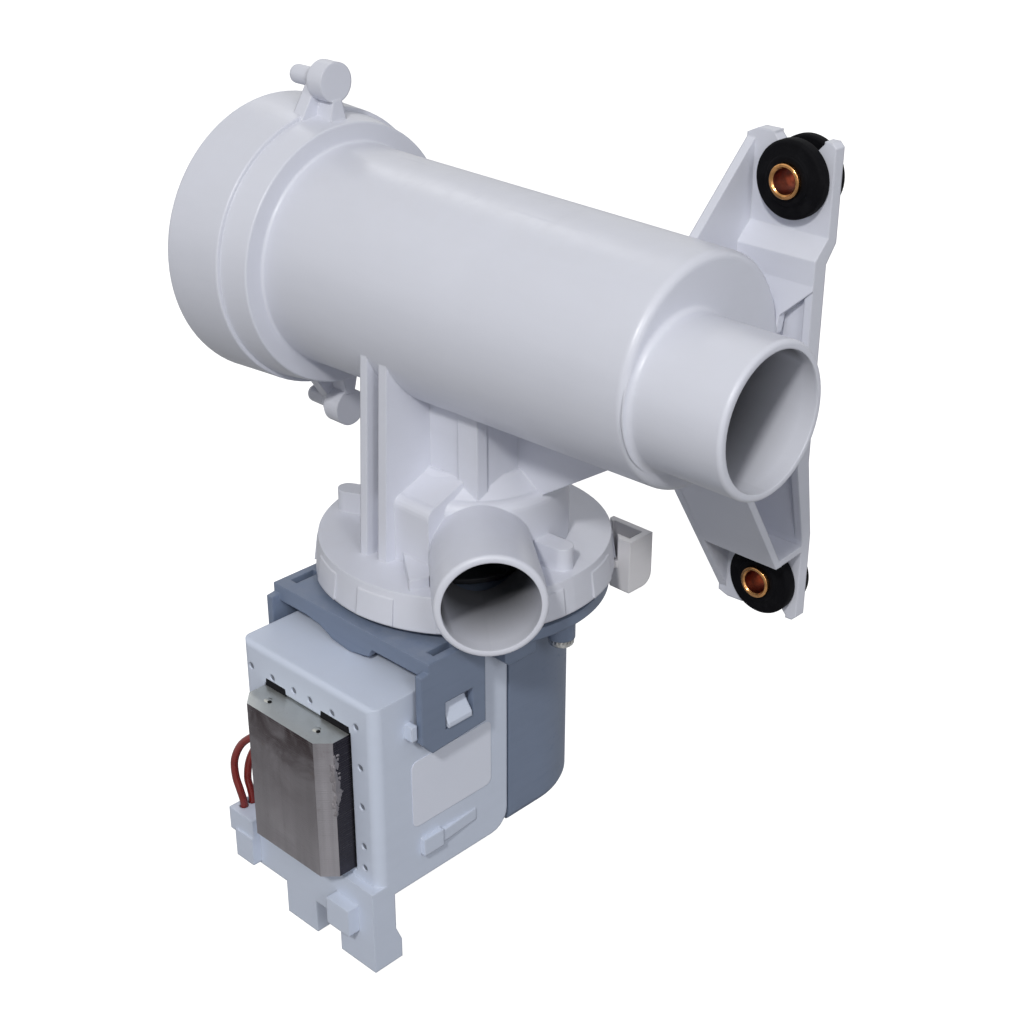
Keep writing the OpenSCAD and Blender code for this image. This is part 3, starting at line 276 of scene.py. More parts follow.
def moulding_group():
    """Moulded plastic: cloudy tone, fine grain, and dust on what faces up."""
    tree, given, out = group_tree(
        "Moulded Surface",
        [("Colour", "NodeSocketColor", (0.8, 0.8, 0.8, 1.0)), ("Cloud", "NodeSocketFloat", 0.05),
         ("Roughness", "NodeSocketFloat", 0.4), ("Dust", "NodeSocketFloat", 0.1)],
        [("Colour", "NodeSocketColor"), ("Roughness", "NodeSocketFloat"),
         ("Height", "NodeSocketFloat")])
    place = object_place(tree)
    cloud = noise_of(tree, place, 28.0, 4.0, 0.55, 0.6)
    flow = noise_of(tree, stretched(tree, place, (60.0, 60.0, 380.0)), 1.0, 2.0)
    grain = noise_of(tree, place, 1900.0, 2.0)
    uneven = combined(tree, "ADD", scaled(tree, cloud, 1.0, -0.5), scaled(tree, flow, 0.5, -0.25))
    tone = combined(tree, "MULTIPLY", uneven, given.outputs["Cloud"])
    lift = add(tree, "ShaderNodeHueSaturation")
    wire(tree, (scaled(tree, tone, 2.0, 1.0), lift.inputs["Value"]),
         (given.outputs["Colour"], lift.inputs["Color"]))
    up = ramp(tree, facing(tree)["Z"], (0.35, 0.0), (0.95, 1.0))
    settled = ramp(tree, noise_of(tree, place, 170.0, 6.0, 0.65), (0.42, 0.0), (0.75, 1.0))
    dust = combined(tree, "MULTIPLY", combined(tree, "MULTIPLY", up, settled),
                    given.outputs["Dust"])
    rough = combined(tree, "ADD", scaled(tree, cloud, 0.14, -0.07), given.outputs["Roughness"])
    wire(tree,
         (blend_colours(tree, dust, lift.outputs["Color"], DUST), out.inputs["Colour"]),
         (combined(tree, "ADD", rough, dust), out.inputs["Roughness"]),
         (combined(tree, "ADD", scaled(tree, grain, 0.5), cloud), out.inputs["Height"]))
    return tree


def scratch_group():
    """Fine scratches that run two ways, as a mask."""
    tree, given, out = group_tree(
        "Fine Scratches", [("Density", "NodeSocketFloat", 1.0)], [("Mask", "NodeSocketFloat")])
    place = object_place(tree)
    first, second = [
        ramp(tree, noise_of(tree, stretched(tree, place, scale, turn), 1.0, 1.0),
             (0.66, 0.0), (0.74, 1.0))
        for scale, turn in SCRATCH_WAYS]
    most = combined(tree, "MAXIMUM", first, second)
    wire(tree, (combined(tree, "MULTIPLY", most, given.outputs["Density"]), out.inputs["Mask"]))
    return tree


def effect(name, maker):
    """The node group of that name, built the first time it is asked for."""
    return bpy.data.node_groups.get(name) or maker()


def blank_material(name):
    material = bpy.data.materials.new(name)
    material.use_nodes = True
    tree = material.node_tree
    return material, tree, tree.nodes["Principled BSDF"]


def bumped(tree, shader, height, distance, edge=None):
    """Feeds the shader's normal from a height, over edges that the bevel node rounds."""
    bump = add(tree, "ShaderNodeBump", {"Strength": 1.0, "Distance": distance})
    wire(tree, (height, bump.inputs["Height"]), (bump.outputs["Normal"], shader.inputs["Normal"]))
    if edge:
        rounded = add(tree, "ShaderNodeBevel", {"Radius": edge}, samples=BEVEL_SAMPLES)
        wire(tree, (rounded.outputs["Normal"], bump.inputs["Normal"]))


def bore_shade(tree, bore):
    """A mask of painted shade in a bore: darker with depth, and on its unlit side near the mouth.

    A bore is the middle of its mouth, the way out along its axis, its radius, and the way to
    the side that the painted shade lies on, all in the row frame's metres.
    """
    mouth, way, radius, side = bore
    offset = add(tree, "ShaderNodeVectorMath", {1: mouth}, operation="SUBTRACT")
    across = add(tree, "ShaderNodeVectorMath", {1: way}, operation="CROSS_PRODUCT")
    from_axis = add(tree, "ShaderNodeVectorMath", operation="LENGTH")
    inside = add(tree, "ShaderNodeMath", {1: radius}, operation="LESS_THAN")
    wire(tree, (object_place(tree), offset.inputs[0]), (offset.outputs[0], across.inputs[0]),
         (across.outputs[0], from_axis.inputs[0]), (from_axis.outputs["Value"], inside.inputs[0]))

    def along(direction):
        dot = add(tree, "ShaderNodeVectorMath", {1: direction}, operation="DOT_PRODUCT")
        wire(tree, (offset.outputs[0], dot.inputs[0]))
        return dot.outputs["Value"]

    # Painted shade: darker with depth, and on the unlit side just inside the mouth
    deep = spread(tree, along(way), *BORE_SHADE_DEPTHS)
    near = combined(tree, "MULTIPLY", spread(tree, along(way), *BORE_SHADE_RIM),
                    spread(tree, along(side), *BORE_SHADE_SIDE))
    ahead = add(tree, "ShaderNodeMath", {1: BORE_SHADE_END}, operation="GREATER_THAN")
    wire(tree, (along(way), ahead.inputs[0]))
    within = combined(tree, "MULTIPLY", ahead.outputs[0], inside.outputs[0])
    painted_shade = combined(tree, "MAXIMUM", deep, near)
    return scaled(tree, combined(tree, "MULTIPLY", painted_shade, within), BORE_SHADE_STRENGTH)


def moulded_plastic(name, colour, roughness, cloud, dust=0.1, edge=None, bores=()):
    """Moulded plastic with fine scratches, and with painted shade in each bore."""
    material, tree, shader = blank_material(name)
    surface = add(tree, "ShaderNodeGroup",
                  {"Colour": colour, "Cloud": cloud, "Roughness": roughness, "Dust": dust},
                  node_tree=effect("Moulded Surface", moulding_group))
    scratches = add(tree, "ShaderNodeGroup", {"Density": SCRATCH_DENSITY},
                    node_tree=effect("Fine Scratches", scratch_group))
    shade = surface.outputs["Colour"]
    # Each bore is darkened with painted shade
    for bore in bores:
        shade = blend_colours(tree, bore_shade(tree, bore), shade, BORE_SHADE_COLOUR)
    dulled = combined(tree, "ADD", surface.outputs["Roughness"], scratches.outputs["Mask"])
    wire(tree, (shade, shader.inputs["Base Color"]), (dulled, shader.inputs["Roughness"]))
    bumped(tree, shader, surface.outputs["Height"], 0.00002, edge)
    return material


def rolled_steel(name, face, top, roughness, smear=(420.0, 420.0, 9.0), darkening=None):
    """Bare sheet metal: smears that run up its face, a plainer top, and specks of rust.

    A darkening is a pair of heights, full at the first and gone at the second, between which the
    face darkens toward its top in patches. A darkened sheet also has a painted highlight on its
    slanted corner and painted shade on its right side.
    """
    material, tree, shader = blank_material(name)
    place, way = object_place(tree), facing(tree)
    streak = noise_of(tree, stretched(tree, place, smear), 1.0, 5.0, 0.6)
    patch = noise_of(tree, place, 75.0, 4.0, 0.6, 0.8)
    mixed = blend_colours(tree, 0.5, streak, patch)
    tone = ramp(tree, mixed, (0.3, 0.35), (0.5, 0.65), (0.7, 1.0))
    shade = blend_colours(tree, tone, darker(face, 0.42), face)
    if darkening:
        full, gone = darkening
        # The face darkens toward its top in patches
        darkened = combined(tree, "MULTIPLY", spread(tree, parts_of(tree, place)["Z"], gone, full),
                        ramp(tree, patch, (0.35, 0.3), (0.6, 1.0)))
        shade = blend_colours(tree, darkened, shade, DARKENING_TONE)
        # Painted highlight down the slanted corner
        corner = ramp(tree, way["X"], (0.45, 0.0), (0.6, 0.5), (0.8, 0.5), (0.9, 0.0))
        shade = blend_colours(tree, corner, shade, blend_colours(tree, streak, *LIT_CORNER))
        # Painted shade on the right side
        side = ramp(tree, way["X"], (0.8, 0.0), (0.95, 0.9))
        shade = blend_colours(tree, side, shade, SHADED_SIDE)
    level = add(tree, "ShaderNodeMath", operation="ABSOLUTE")
    wire(tree, (way["Z"], level.inputs[0]))
    flat = ramp(tree, level.outputs[0], (0.8, 0.0), (0.9, 1.0))
    sheet = blend_colours(tree, patch, darker(top, 0.7), top)
    rust = ramp(tree, noise_of(tree, place, 260.0, 5.0, 0.7), (0.62, 0.0), (0.8, 0.4))
    base = blend_colours(tree, rust, blend_colours(tree, flat, shade, sheet), RUST)
    wire(tree, (base, shader.inputs["Base Color"]),
         (scaled(tree, streak, 0.3, roughness - 0.15), shader.inputs["Roughness"]))
    shader.inputs["Metallic"].default_value = 0.85
    bumped(tree, shader, mixed, 0.00004)
    return material


def turned_metal(name, colour, roughness, ring_scale, axis):
    """Bright metal with fine turning marks round an axis, and a little tarnish."""
    material, tree, shader = blank_material(name)
    place = object_place(tree)
    marks = add(tree, "ShaderNodeTexWave", {"Scale": ring_scale, "Distortion": 1.5, "Detail": 1.0},
                bands_direction=axis)
    tarnish = noise_of(tree, place, 420.0, 5.0, 0.6)
    tone = ramp(tree, tarnish, (0.35, 0.0), (0.65, 1.0))
    wire(tree, (place, marks.inputs["Vector"]),
         (blend_colours(tree, tone, darker(colour, 0.45), colour), shader.inputs["Base Color"]),
         (scaled(tree, tarnish, -0.3, roughness + 0.15), shader.inputs["Roughness"]))
    shader.inputs["Metallic"].default_value = 1.0
    bumped(tree, shader, marks.outputs["Fac"], 0.00001)
    return material


def soft_rubber(name, colour, roughness):
    """Matt black rubber with a fine skin and a little bloom where it has been handled."""
    material, tree, shader = blank_material(name)
    place = object_place(tree)
    bloom = ramp(tree, noise_of(tree, place, 240.0, 5.0, 0.7), (0.5, 0.0), (0.85, 1.0))
    skin = noise_of(tree, place, 2600.0, 2.0)
    wire(tree, (blend_colours(tree, scaled(tree, bloom, 0.3), colour, RUBBER_BLOOM),
                shader.inputs["Base Color"]),
         (scaled(tree, bloom, 0.2, roughness - 0.05), shader.inputs["Roughness"]))
    shader.inputs["Specular IOR Level"].default_value = 0.07
    bumped(tree, shader, skin, 0.00003, 0.0004)
    return material


def insulated_lead(name, colour):
    """Shiny insulation with a faintly uneven tone."""
    material, tree, shader = blank_material(name)
    tone = noise_of(tree, object_place(tree), 350.0, 3.0)
    shade = blend_colours(tree, tone, darker(colour, 0.5), colour)
    wire(tree, (shade, shader.inputs["Base Color"]),
         (scaled(tree, tone, 0.2, 0.2), shader.inputs["Roughness"]))
    shader.inputs["Coat Weight"].default_value = 0.3
    bumped(tree, shader, tone, 0.00003)
    return material


def label_paper(name):
    """White label stock: faint fibres and a soft gloss."""
    material, tree, shader = blank_material(name)
    place = object_place(tree)
    fibres = noise_of(tree, place, 1300.0, 4.0, 0.7)
    cloud = noise_of(tree, place, 60.0, 3.0)
    wire(tree, (blend_colours(tree, cloud, *LABEL_TONES), shader.inputs["Base Color"]),
         (scaled(tree, fibres, 0.2, 0.3), shader.inputs["Roughness"]))
    bumped(tree, shader, fibres, 0.00002, 0.0002)
    return material


# Building pieces

MERGE_DISTANCE = 0.000002
AXES = {"X": Vector((1, 0, 0)), "Y": Vector((0, 1, 0)), "Z": Vector((0, 0, 1))}
ACROSS = {"X": Vector((0, 0, 1)), "Y": Vector((1, 0, 0)), "Z": Vector((1, 0, 0))}


def finish_piece(bm, name, material, body, replaces=(), sharp=35, second=None):
    """Turns a bmesh into a piece that rides on a body, smooth but for edges over sharp degrees."""
    bmesh.ops.remove_doubles(bm, verts=bm.verts, dist=MERGE_DISTANCE)
    bmesh.ops.recalc_face_normals(bm, faces=bm.faces)
    mesh = bpy.data.meshes.new(name)
    bm.to_mesh(mesh)
    bm.free()
    mesh.polygons.foreach_set("use_smooth", [True] * len(mesh.polygons))
    mesh.set_sharp_from_angle(angle=math.radians(sharp))
    mesh.materials.append(material)
    if second:
        mesh.materials.append(second)
    piece = bpy.data.objects.new(name, mesh)
    bpy.context.scene.collection.objects.link(piece)
    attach(piece, body)
    if replaces:
        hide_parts(*replaces)


def turn_profile(bm, profile, centre, axis, steps, closed=False):
    """Spins a profile of (radius, distance along the axis) round an axis."""
    along, across = AXES[axis], ACROSS[axis]
    verts = [bm.verts.new(at(*(Vector(centre) + across * r + along * t))) for r, t in profile]
    pairs = list(zip(verts, verts[1:])) + ([(verts[-1], verts[0])] if closed else [])
    edges = [bm.edges.new(pair) for pair in pairs]
    bmesh.ops.spin(bm, geom=verts + edges, cent=at(*centre), axis=along, angle=2 * math.pi,
                   steps=steps, use_merge=True, use_duplicate=False)


def slab(bm, outline, low, high, axis="Z"):
    """Extrudes an outline, given in the plane across an axis, from low to high."""
    def place(u, v, t):
        return at(*{"X": (t, u, v), "Y": (u, t, v), "Z": (u, v, t)}[axis])
    base = bm.faces.new([bm.verts.new(place(u, v, low)) for u, v in outline])
    grown = bmesh.ops.extrude_face_region(bm, geom=[base])["geom"]
    tops = [v for v in grown if isinstance(v, bmesh.types.BMVert)]
    bmesh.ops.translate(bm, verts=tops, vec=place(0, 0, high) - place(0, 0, low))


def arc(cx, cy, radius, start, end, count):
    """Points of an arc in degrees, for a profile or an outline."""
    angles = [math.radians(start + (end - start) * i / count) for i in range(count + 1)]
    return [(cx + radius * math.cos(angle), cy + radius * math.sin(angle)) for angle in angles]


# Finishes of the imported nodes

def housing_bores():
    """The housing's two open spigots, as bore_shade takes them."""
    turn = math.radians(OUTLET_ANGLE)
    way = Vector((math.cos(turn), math.sin(turn), 0.0))
    beside = Vector((-way.y, way.x, 0.0))
    along, aside, height = OUTLET_END
    outlet = at(*(along * way + aside * beside + Vector((0, 0, height))))
    return ((outlet, way, OUTLET_BORE, OUTLET_SHADE_SIDE),
            (at(*INLET_END), (1.0, 0.0, 0.0), INLET_BORE, INLET_SHADE_SIDE))


def dress_nodes():
    """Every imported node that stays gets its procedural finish."""
    tone, edge = colours(), sizes().edge_radius
    housing = moulded_plastic("housing plastic", tone.housing, 0.34, 0.03, 0.08, edge,
                              bores=housing_bores())
    cover = moulded_plastic("cover plastic", tone.cover, 0.42, 0.04, 0.06, edge)
    flange = moulded_plastic("flange plastic", tone.flange, 0.44, 0.12, 0.12, edge)
    cap = moulded_plastic("cap plastic", tone.cap, 0.38, 0.04, 0.06, edge)
    white = moulded_plastic("white plastic", (0.72, 0.73, 0.76, 1.0), 0.4, 0.03, 0.0, edge)
    dark = moulded_plastic("impeller plastic", (0.03, 0.032, 0.036, 1.0), 0.5, 0.1, 0.0, edge)
    cream = moulded_plastic("bobbin plastic", (0.7, 0.64, 0.5, 1.0), 0.45, 0.04, 0.0, edge)
    steel = turned_metal("bright steel", (0.6, 0.6, 0.59, 1.0), 0.25, 1200.0, "Z")
    bronze = turned_metal("bearing bronze", (0.42, 0.3, 0.16, 1.0), 0.4, 1200.0, "Z")
    tin = turned_metal("tinned brass", (0.66, 0.64, 0.58, 1.0), 0.3, 700.0, "X")
    core = rolled_steel("pole steel", (0.3, 0.28, 0.27, 1.0), (0.25, 0.26, 0.24, 1.0), 0.42)
    ferrite = moulded_plastic("ferrite", (0.035, 0.035, 0.038, 1.0), 0.5, 0.15, 0.0, 0.0002)
    seal = soft_rubber("seal rubber", (0.02, 0.02, 0.022, 1.0), 0.5)
    finishes = {
        housing: ("pump_housing",),
        cover: ("stator_cover",),
        cap: ("lock_clip", "filter_cap"),
        flange: ("motor_flange", "pole_hood", "magnet_jacket", "drive_dog", "impeller_hub_cap"),
        white: ("filter_basket",),
        dark: ("impeller",),
        cream: ("left_bobbin", "right_bobbin", "bearing_holder"),
        steel: ("rotor_shaft", "shaft_clip"),
        bronze: ("front_bearing", "rear_bearing"),
        tin: ("tab_terminals",),
        core: ("left_pole_core", "right_pole_core"),
        ferrite: ("rotor_magnet",),
        seal: ("flange_gasket", "shaft_seal", "rear_bearing_cushion", "cap_seal"),
    }
    for material, names in finishes.items():
        for name in names:
            NODES[name].data.materials.clear()
            NODES[name].data.materials.append(material)


# Leads

# Places along each lead's middle, from the coils to the strain relief
LEAD_ROUTES = {
    "front_red_lead": [
        (-21.6, -54.2, -53.8), (-25, -54.5, -54), (-27.5, -55.5, -54.5), (-30.5, -58, -57.5),
        (-31.5, -60, -62), (-31, -60.5, -67), (-29.5, -60.5, -71), (-28.6, -60.2, -75),
        (-28.6, -60.2, -80.4)],
    "rear_red_lead": [
        (-21.6, -50.2, -56.8), (-25, -50.5, -57), (-27.5, -51.5, -57.5), (-29.5, -54, -60),
        (-30.3, -56, -64), (-30.3, -57, -69), (-29.2, -57.2, -72), (-28.6, -57.2, -75),
        (-28.6, -57.2, -80.4)],
}


def smooth_route(points, between=4):
    """A denser route through the same points, by a uniform spline."""
    ends = [2 * points[0] - points[1]] + points + [2 * points[-1] - points[-2]]
    dense = []
    for a, b, c, d in zip(ends, ends[1:], ends[2:], ends[3:]):
        for i in range(between):
            t = i / between
            dense.append(0.5 * (2 * b + (c - a) * t + (2 * a - 5 * b + 4 * c - d) * t * t
                                + (3 * b - a - 3 * c + d) * t ** 3))
    return dense + [points[-1]]


def make_leads():
    """Two red leads as cords along their routes."""
    material = insulated_lead("lead insulation", colours().lead)
    thick = sizes().lead_diameter
    for name, route in LEAD_ROUTES.items():
        points = smooth_route([at(*p) for p in route])
        curve = bpy.data.curves.new(name + "_wire", "CURVE")
        curve.dimensions = "3D"
        curve.bevel_depth = thick / 2
        curve.bevel_resolution = 4
        curve.use_fill_caps = True
        spline = curve.splines.new("POLY")
        spline.points.add(len(points) - 1)
        for spot, place in zip(spline.points, points):
            spot.co = (*place, 1.0)
        spline.use_smooth = True
        curve.materials.append(material)
        wire_piece = bpy.data.objects.new(name + "_wire", curve)
        bpy.context.scene.collection.objects.link(wire_piece)
        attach(wire_piece, "base")
        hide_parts(name)


# Fine pieces

GROMMET_FRONT, SLEEVE_FRONT = 31.0, 29.2


def make_grommets():
    """Two rubber grommets with soft lips, in the bracket's slots."""
    rubber = soft_rubber("grommet rubber", colours().rubber, 0.75)
    bore, waist = 4.24, 6.1
    lip = [(bore, -0.7)] + arc(5.4, -0.3, 0.5, -90, 0, 4) + [(6.3, 0.05)]
    front = arc(8.4, 1.0, 1.0, -90, 0, 6) + arc(8.7, 2.8, 0.7, 0, 90, 5) + [(waist, 3.5)]
    back = [(waist, 6.8)] + arc(8.7, 7.5, 0.7, -90, 0, 5) + arc(8.4, 8.8, 1.0, 0, 90, 6)
    profile = lip + front + back + [(bore, 9.8)]
    for name, z in zip(("upper_grommet", "lower_grommet"), SLEEVE_HEIGHTS):
        bm = bmesh.new()
        turn_profile(bm, profile, (BRACKET_X, GROMMET_FRONT, z), "Y", 72, closed=True)
        finish_piece(bm, name + "_rubber", rubber, "base", (name,), sharp=50)


def make_sleeves():
    """Two copper-plated sleeves with broken edges and tarnished bores."""
    copper = turned_metal("copper plate", (0.83, 0.42, 0.16, 1.0), 0.2, 1500.0, "Y")
    tarnished = turned_metal("tarnished copper", (0.3, 0.05, 0.015, 1.0), 0.35, 1500.0, "Y")
    outer, inner, length, rounding, chamfer = 4.2, 3.1, 11.8, 0.3, 0.35
    profile = ([(inner + chamfer, 0.0)] + arc(outer - rounding, rounding, rounding, -90, 0, 4)
               + arc(outer - rounding, length - rounding, rounding, 0, 90, 4)
               + [(inner + chamfer, length), (inner, length - chamfer), (inner, chamfer)])
    bore_reach = (inner + 0.1) * MM
    for name, z in zip(("upper_sleeve", "lower_sleeve"), SLEEVE_HEIGHTS):
        bm = bmesh.new()
        turn_profile(bm, profile, (BRACKET_X, SLEEVE_FRONT, z), "Y", 72, closed=True)
        axis = at(BRACKET_X, SLEEVE_FRONT, z)
        for face in bm.faces:
            middle = face.calc_center_median() - axis
            face.material_index = int(math.hypot(middle.x, middle.z) < bore_reach)
        finish_piece(bm, name + "_turned", copper, "base", (name,), 40, tarnished)


YOKE = {"half": 16.9, "front": -67.4, "back": -57.4, "chamfer": 3.6, "low": -73.7, "high": -31.7}
# Heights in metres at which the darkening of the stack's face toward its top is full and gone
YOKE_DARKENING = (-0.084, -0.119)
# How far a sheet may slip along X and Y, and its share of the pitch; the rest is a dark gap
SHEET_SLIP_X, SHEET_SLIP_Y, SHEET_SHARE = 0.015, 0.02, 0.97


def make_yoke():
    """The lamination stack: separate sheets, each a little in or out of line."""
    steel = rolled_steel("lamination steel", (0.37, 0.35, 0.375, 1.0), (0.54, 0.56, 0.55, 1.0),
                         0.42, darkening=YOKE_DARKENING)
    tall = YOKE["high"] - YOKE["low"]
    count = round(tall / (sizes().sheet_pitch / MM))
    pitch = tall / count
    rng = random.Random(7)
    bm = bmesh.new()
    half, front, back, cut = YOKE["half"], YOKE["front"], YOKE["back"], YOKE["chamfer"]
    corners = ((-half, back), (-half, front + cut), (-half + cut, front), (half - cut, front),
               (half, front + cut), (half, back))
    for i in range(count):
        slip_x, slip_y = rng.uniform(-SHEET_SLIP_X, SHEET_SLIP_X), rng.uniform(0.0, SHEET_SLIP_Y)
        outline = [(x + slip_x, y + slip_y) for x, y in corners]
        low = YOKE["low"] + i * pitch
        slab(bm, outline, low, low + pitch * (1.0 if i == count - 1 else SHEET_SHARE))
    finish_piece(bm, "core_yoke_sheets", steel, "base", ("core_yoke",), sharp=30)


def make_dimples():
    """Two pressed bumps in the top sheet, each with a dark disc of painted shadow beside it."""
    steel = rolled_steel("pressed steel", (0.5, 0.5, 0.48, 1.0), (0.55, 0.56, 0.53, 1.0), 0.32)
    shadow = soft_rubber("dent shadow", (0.008, 0.008, 0.008, 1.0), 0.8)
    bump = [(0.0, 0.34), (0.5, 0.3), (0.9, 0.17), (1.15, 0.03), (1.2, -0.2)]
    # Profile of the dark disc of painted shadow beside each bump
    mouth = [(0.0, 0.3), (0.35, 0.29), (0.55, 0.2), (0.6, -0.2)]
    for number, x in enumerate((-10.4, 9.2), 1):
        for name, look, profile, steps, spot in (
                (f"top_dimple_{number}", steel, bump, 28, (x, -62.6, YOKE["high"])),
                (f"dimple_shadow_{number}", shadow, mouth, 20, (x + 1.0, -62.9, YOKE["high"]))):
            bm = bmesh.new()
            turn_profile(bm, profile, spot, "Z", steps)
            finish_piece(bm, name, look, "base")


WELD_DROPS, DROP_THICKNESS = 170, 0.1
# Lowest, highest and commonest height of a drop
WELD_HEIGHTS = (-55.5, -35.5, -43.0)


def make_weld():
    """The rough weld that ties the sheets: flattened drops on the right edge's upper half."""
    steel = rolled_steel("weld steel", (0.36, 0.34, 0.36, 1.0), (0.36, 0.35, 0.36, 1.0), 0.5,
                         (300.0, 300.0, 300.0))
    corner_x, corner_y = YOKE["half"], YOKE["front"] + YOKE["chamfer"]
    rng = random.Random(11)
    bm = bmesh.new()
    for _ in range(WELD_DROPS):
        height = rng.triangular(*WELD_HEIGHTS)
        # The seam wanders; beyond the corner a drop sits on the side, before it on the slanted face
        past = 0.5 + 0.5 * math.sin(0.5 * height) + rng.gauss(0.0, 0.55)
        if past > 0.0:
            spot, turn = Vector((corner_x, corner_y + past, height)), 0.0
        else:
            spot = Vector((corner_x + 0.7 * past, corner_y + 0.7 * past, height))
            turn = math.radians(-45.0)
        drop = bmesh.ops.create_icosphere(bm, subdivisions=2, radius=1.0)["verts"]
        wide, tall = rng.uniform(0.15, 0.5), rng.uniform(0.3, 1.1)
        out = Vector((math.cos(turn), math.sin(turn), 0.0))
        along = Vector((-math.sin(turn), math.cos(turn), 0.0))
        for vert in drop:
            x, y, z = vert.co
            vert.co = at(*(spot + out * (DROP_THICKNESS * x) + along * (wide * y)
                           + Vector((0.0, 0.0, tall * z))))
    finish_piece(bm, "yoke_weld", steel, "base", sharp=80)


# Ejector dots on the cover's front: a row along its top and a column down its right side
COVER_DOTS = ([(x, -28.3) for x in (-22.5, -13.7, -4.9, 1.6, 10.3, 19.6)]
              + [(20.6, z) for z in (-40.2, -52.4, -65, -72)])
DOT_RADIUS, DOT_DEPTH = 0.93, 0.36
# Left and right end of each notch's painted shade, and the heights of its bottom and top
COVER_NOTCHES = ((-16.7, -8.2), (5.6, 17.1))
NOTCH_LOW, NOTCH_HIGH = -31.65, -29.5


def make_cover_recesses():
    """Painted shade: dark discs in the floors of the cover's ejector dots, and dark sheets on the
    cover's front where two notches above the yoke would be in shade.
    """
    shadow = moulded_plastic("cover dot shade", (0.16, 0.175, 0.21, 1.0), 0.6, 0.1)
    gap = soft_rubber("notch shadow", (0.01, 0.01, 0.012, 1.0), 0.8)
    bm = bmesh.new()
    # Dark discs of painted shade in the dots' floors
    for x, z in COVER_DOTS:
        turn_profile(bm, [(0.0, 0.0), (DOT_RADIUS, 0.02)], (x, COVER_FRONT + DOT_DEPTH, z), "Y", 20)
    finish_piece(bm, "cover_dot_shade", shadow, "base")
    bm = bmesh.new()
    # Dark sheets of painted shade where the notches would be
    for left, right in COVER_NOTCHES:
        slab(bm, [(left, NOTCH_LOW), (right, NOTCH_LOW), (right - 0.3, NOTCH_HIGH),
                  (left + 0.3, NOTCH_HIGH)], COVER_FRONT - 0.04, COVER_FRONT + 0.2, "Y")
    finish_piece(bm, "cover_notch_shade", gap, "base")


# Middle along Y and Z, half sizes, corner radius, and the sheet's back and front along X
LABEL = {"middle": (-31.5, -52.7), "half": (14.5, 10.3), "corner": 2.0, "sheet": (26.3, 26.48)}


def make_label():
    """The blank label: a thin sheet with round corners."""
    paper = label_paper("label paper")
    (mid_y, mid_z), (half_y, half_z), radius = LABEL["middle"], LABEL["half"], LABEL["corner"]
    outline = []
    for side_y, side_z, start in ((1, 1, 0), (-1, 1, 90), (-1, -1, 180), (1, -1, 270)):
        outline += arc(side_y * (half_y - radius), side_z * (half_z - radius), radius,
                       start, start + 90, 5)
    bm = bmesh.new()
    slab(bm, [(mid_y + u, mid_z + v) for u, v in outline], *LABEL["sheet"], "X")
    finish_piece(bm, "label_sheet", paper, "base", ("rating_label",))


SCREW_ANGLES = (3, 104, 205)
SCREW_CIRCLE, SCREW_BOTTOM = 34.5, -23.4


def make_screws():
    """Three screws from below: pan heads with a round recess, and threaded shanks."""
    steel = turned_metal("zinc plate", (0.75, 0.75, 0.74, 1.0), 0.2, 1300.0, "Z")
    head_edge = (3.5, 2.38)
    head = ([(0.0, 1.0), (1.1, 1.0), (1.25, 0.0), (2.6, 0.1)] + arc(2.6, 1.0, 0.9, -90, 0, 5)
            + [head_edge])
    root, crest = 1.3, 1.68
    thread = [head_edge, (1.5, 2.4)]
    for i in range(22):
        thread += [(root, 2.6 + i), (crest, 3.0 + i)]
    thread += [(1.2, 25.0), (0.0, 26.4)]
    bm = bmesh.new()
    for angle in SCREW_ANGLES:
        turn = math.radians(angle)
        centre = (SCREW_CIRCLE * math.cos(turn), SCREW_CIRCLE * math.sin(turn), SCREW_BOTTOM)
        turn_profile(bm, head, centre, "Z", 40)
        turn_profile(bm, thread, centre, "Z", 20)
    finish_piece(bm, "housing_screw_set", steel, "base", ("housing_screws",))


# A coil's middle along X and Z, the half sizes to the centres of its round corners, and its
# start and length along Y
COIL = {"aside": 11.9, "middle": -52.7, "half": (6.25, 22.25), "start": -21.4, "length": 32.6}
# The wire's reach and the bulge of a turn. The corners' radius is a share of both, and not
# less than the last number, which closes the ends.
WIRE_REACH, WIRE_BULGE, TURN_POINTS = 2.96, 0.14, 6
CORNER_SHARE, CORNER_LEAST = 0.8, 0.05


def make_coils():
    """Both coils as wound wire: the outer layer's turns beside each other, with closed ends."""
    wire_look = turned_metal("enamelled wire", (0.62, 0.24, 0.07, 1.0), 0.22, 900.0, "Y")
    thick = sizes().wire_diameter / MM
    turns, start_y = int(COIL["length"] / thick), COIL["start"]
    profile = [(0.0, start_y)]
    for i in range(turns):
        y = start_y - i * thick
        profile += [(WIRE_REACH + WIRE_BULGE * math.cos(2 * math.pi * k / TURN_POINTS),
                     y - k * thick / TURN_POINTS) for k in range(TURN_POINTS)]
    profile.append((0.0, start_y - turns * thick))
    half_x, half_z = COIL["half"]
    corners = ((half_x, half_z, 0), (-half_x, half_z, 90), (-half_x, -half_z, 180),
               (half_x, -half_z, 270))
    for side, name in ((-1, "left_coil"), (1, "right_coil")):
        centre_x = side * COIL["aside"]
        bm = bmesh.new()
        rings = []
        for reach, y in profile:
            radius = max(reach * CORNER_SHARE, CORNER_LEAST)
            ring = []
            for cx, cz, start in corners:
                for u, v in arc(cx, cz, radius, start, start + 90, 4):
                    ring.append(bm.verts.new(at(centre_x + u, y, COIL["middle"] + v)))
            rings.append([bm.edges.new(pair) for pair in zip(ring, ring[1:] + ring[:1])])
        for first, second in zip(rings, rings[1:]):
            bmesh.ops.bridge_loops(bm, edges=first + second)
        finish_piece(bm, name + "_winding", wire_look, "base", (name,), sharp=60)


# Studio

CAMERA_PLACE = (298.2, -289.5, 214.8)
CAMERA_ELEVATION, CAMERA_ROLL, CAMERA_AZIMUTH = 26.852, -0.035, 44.096
SENSOR_WIDTH = 36.0
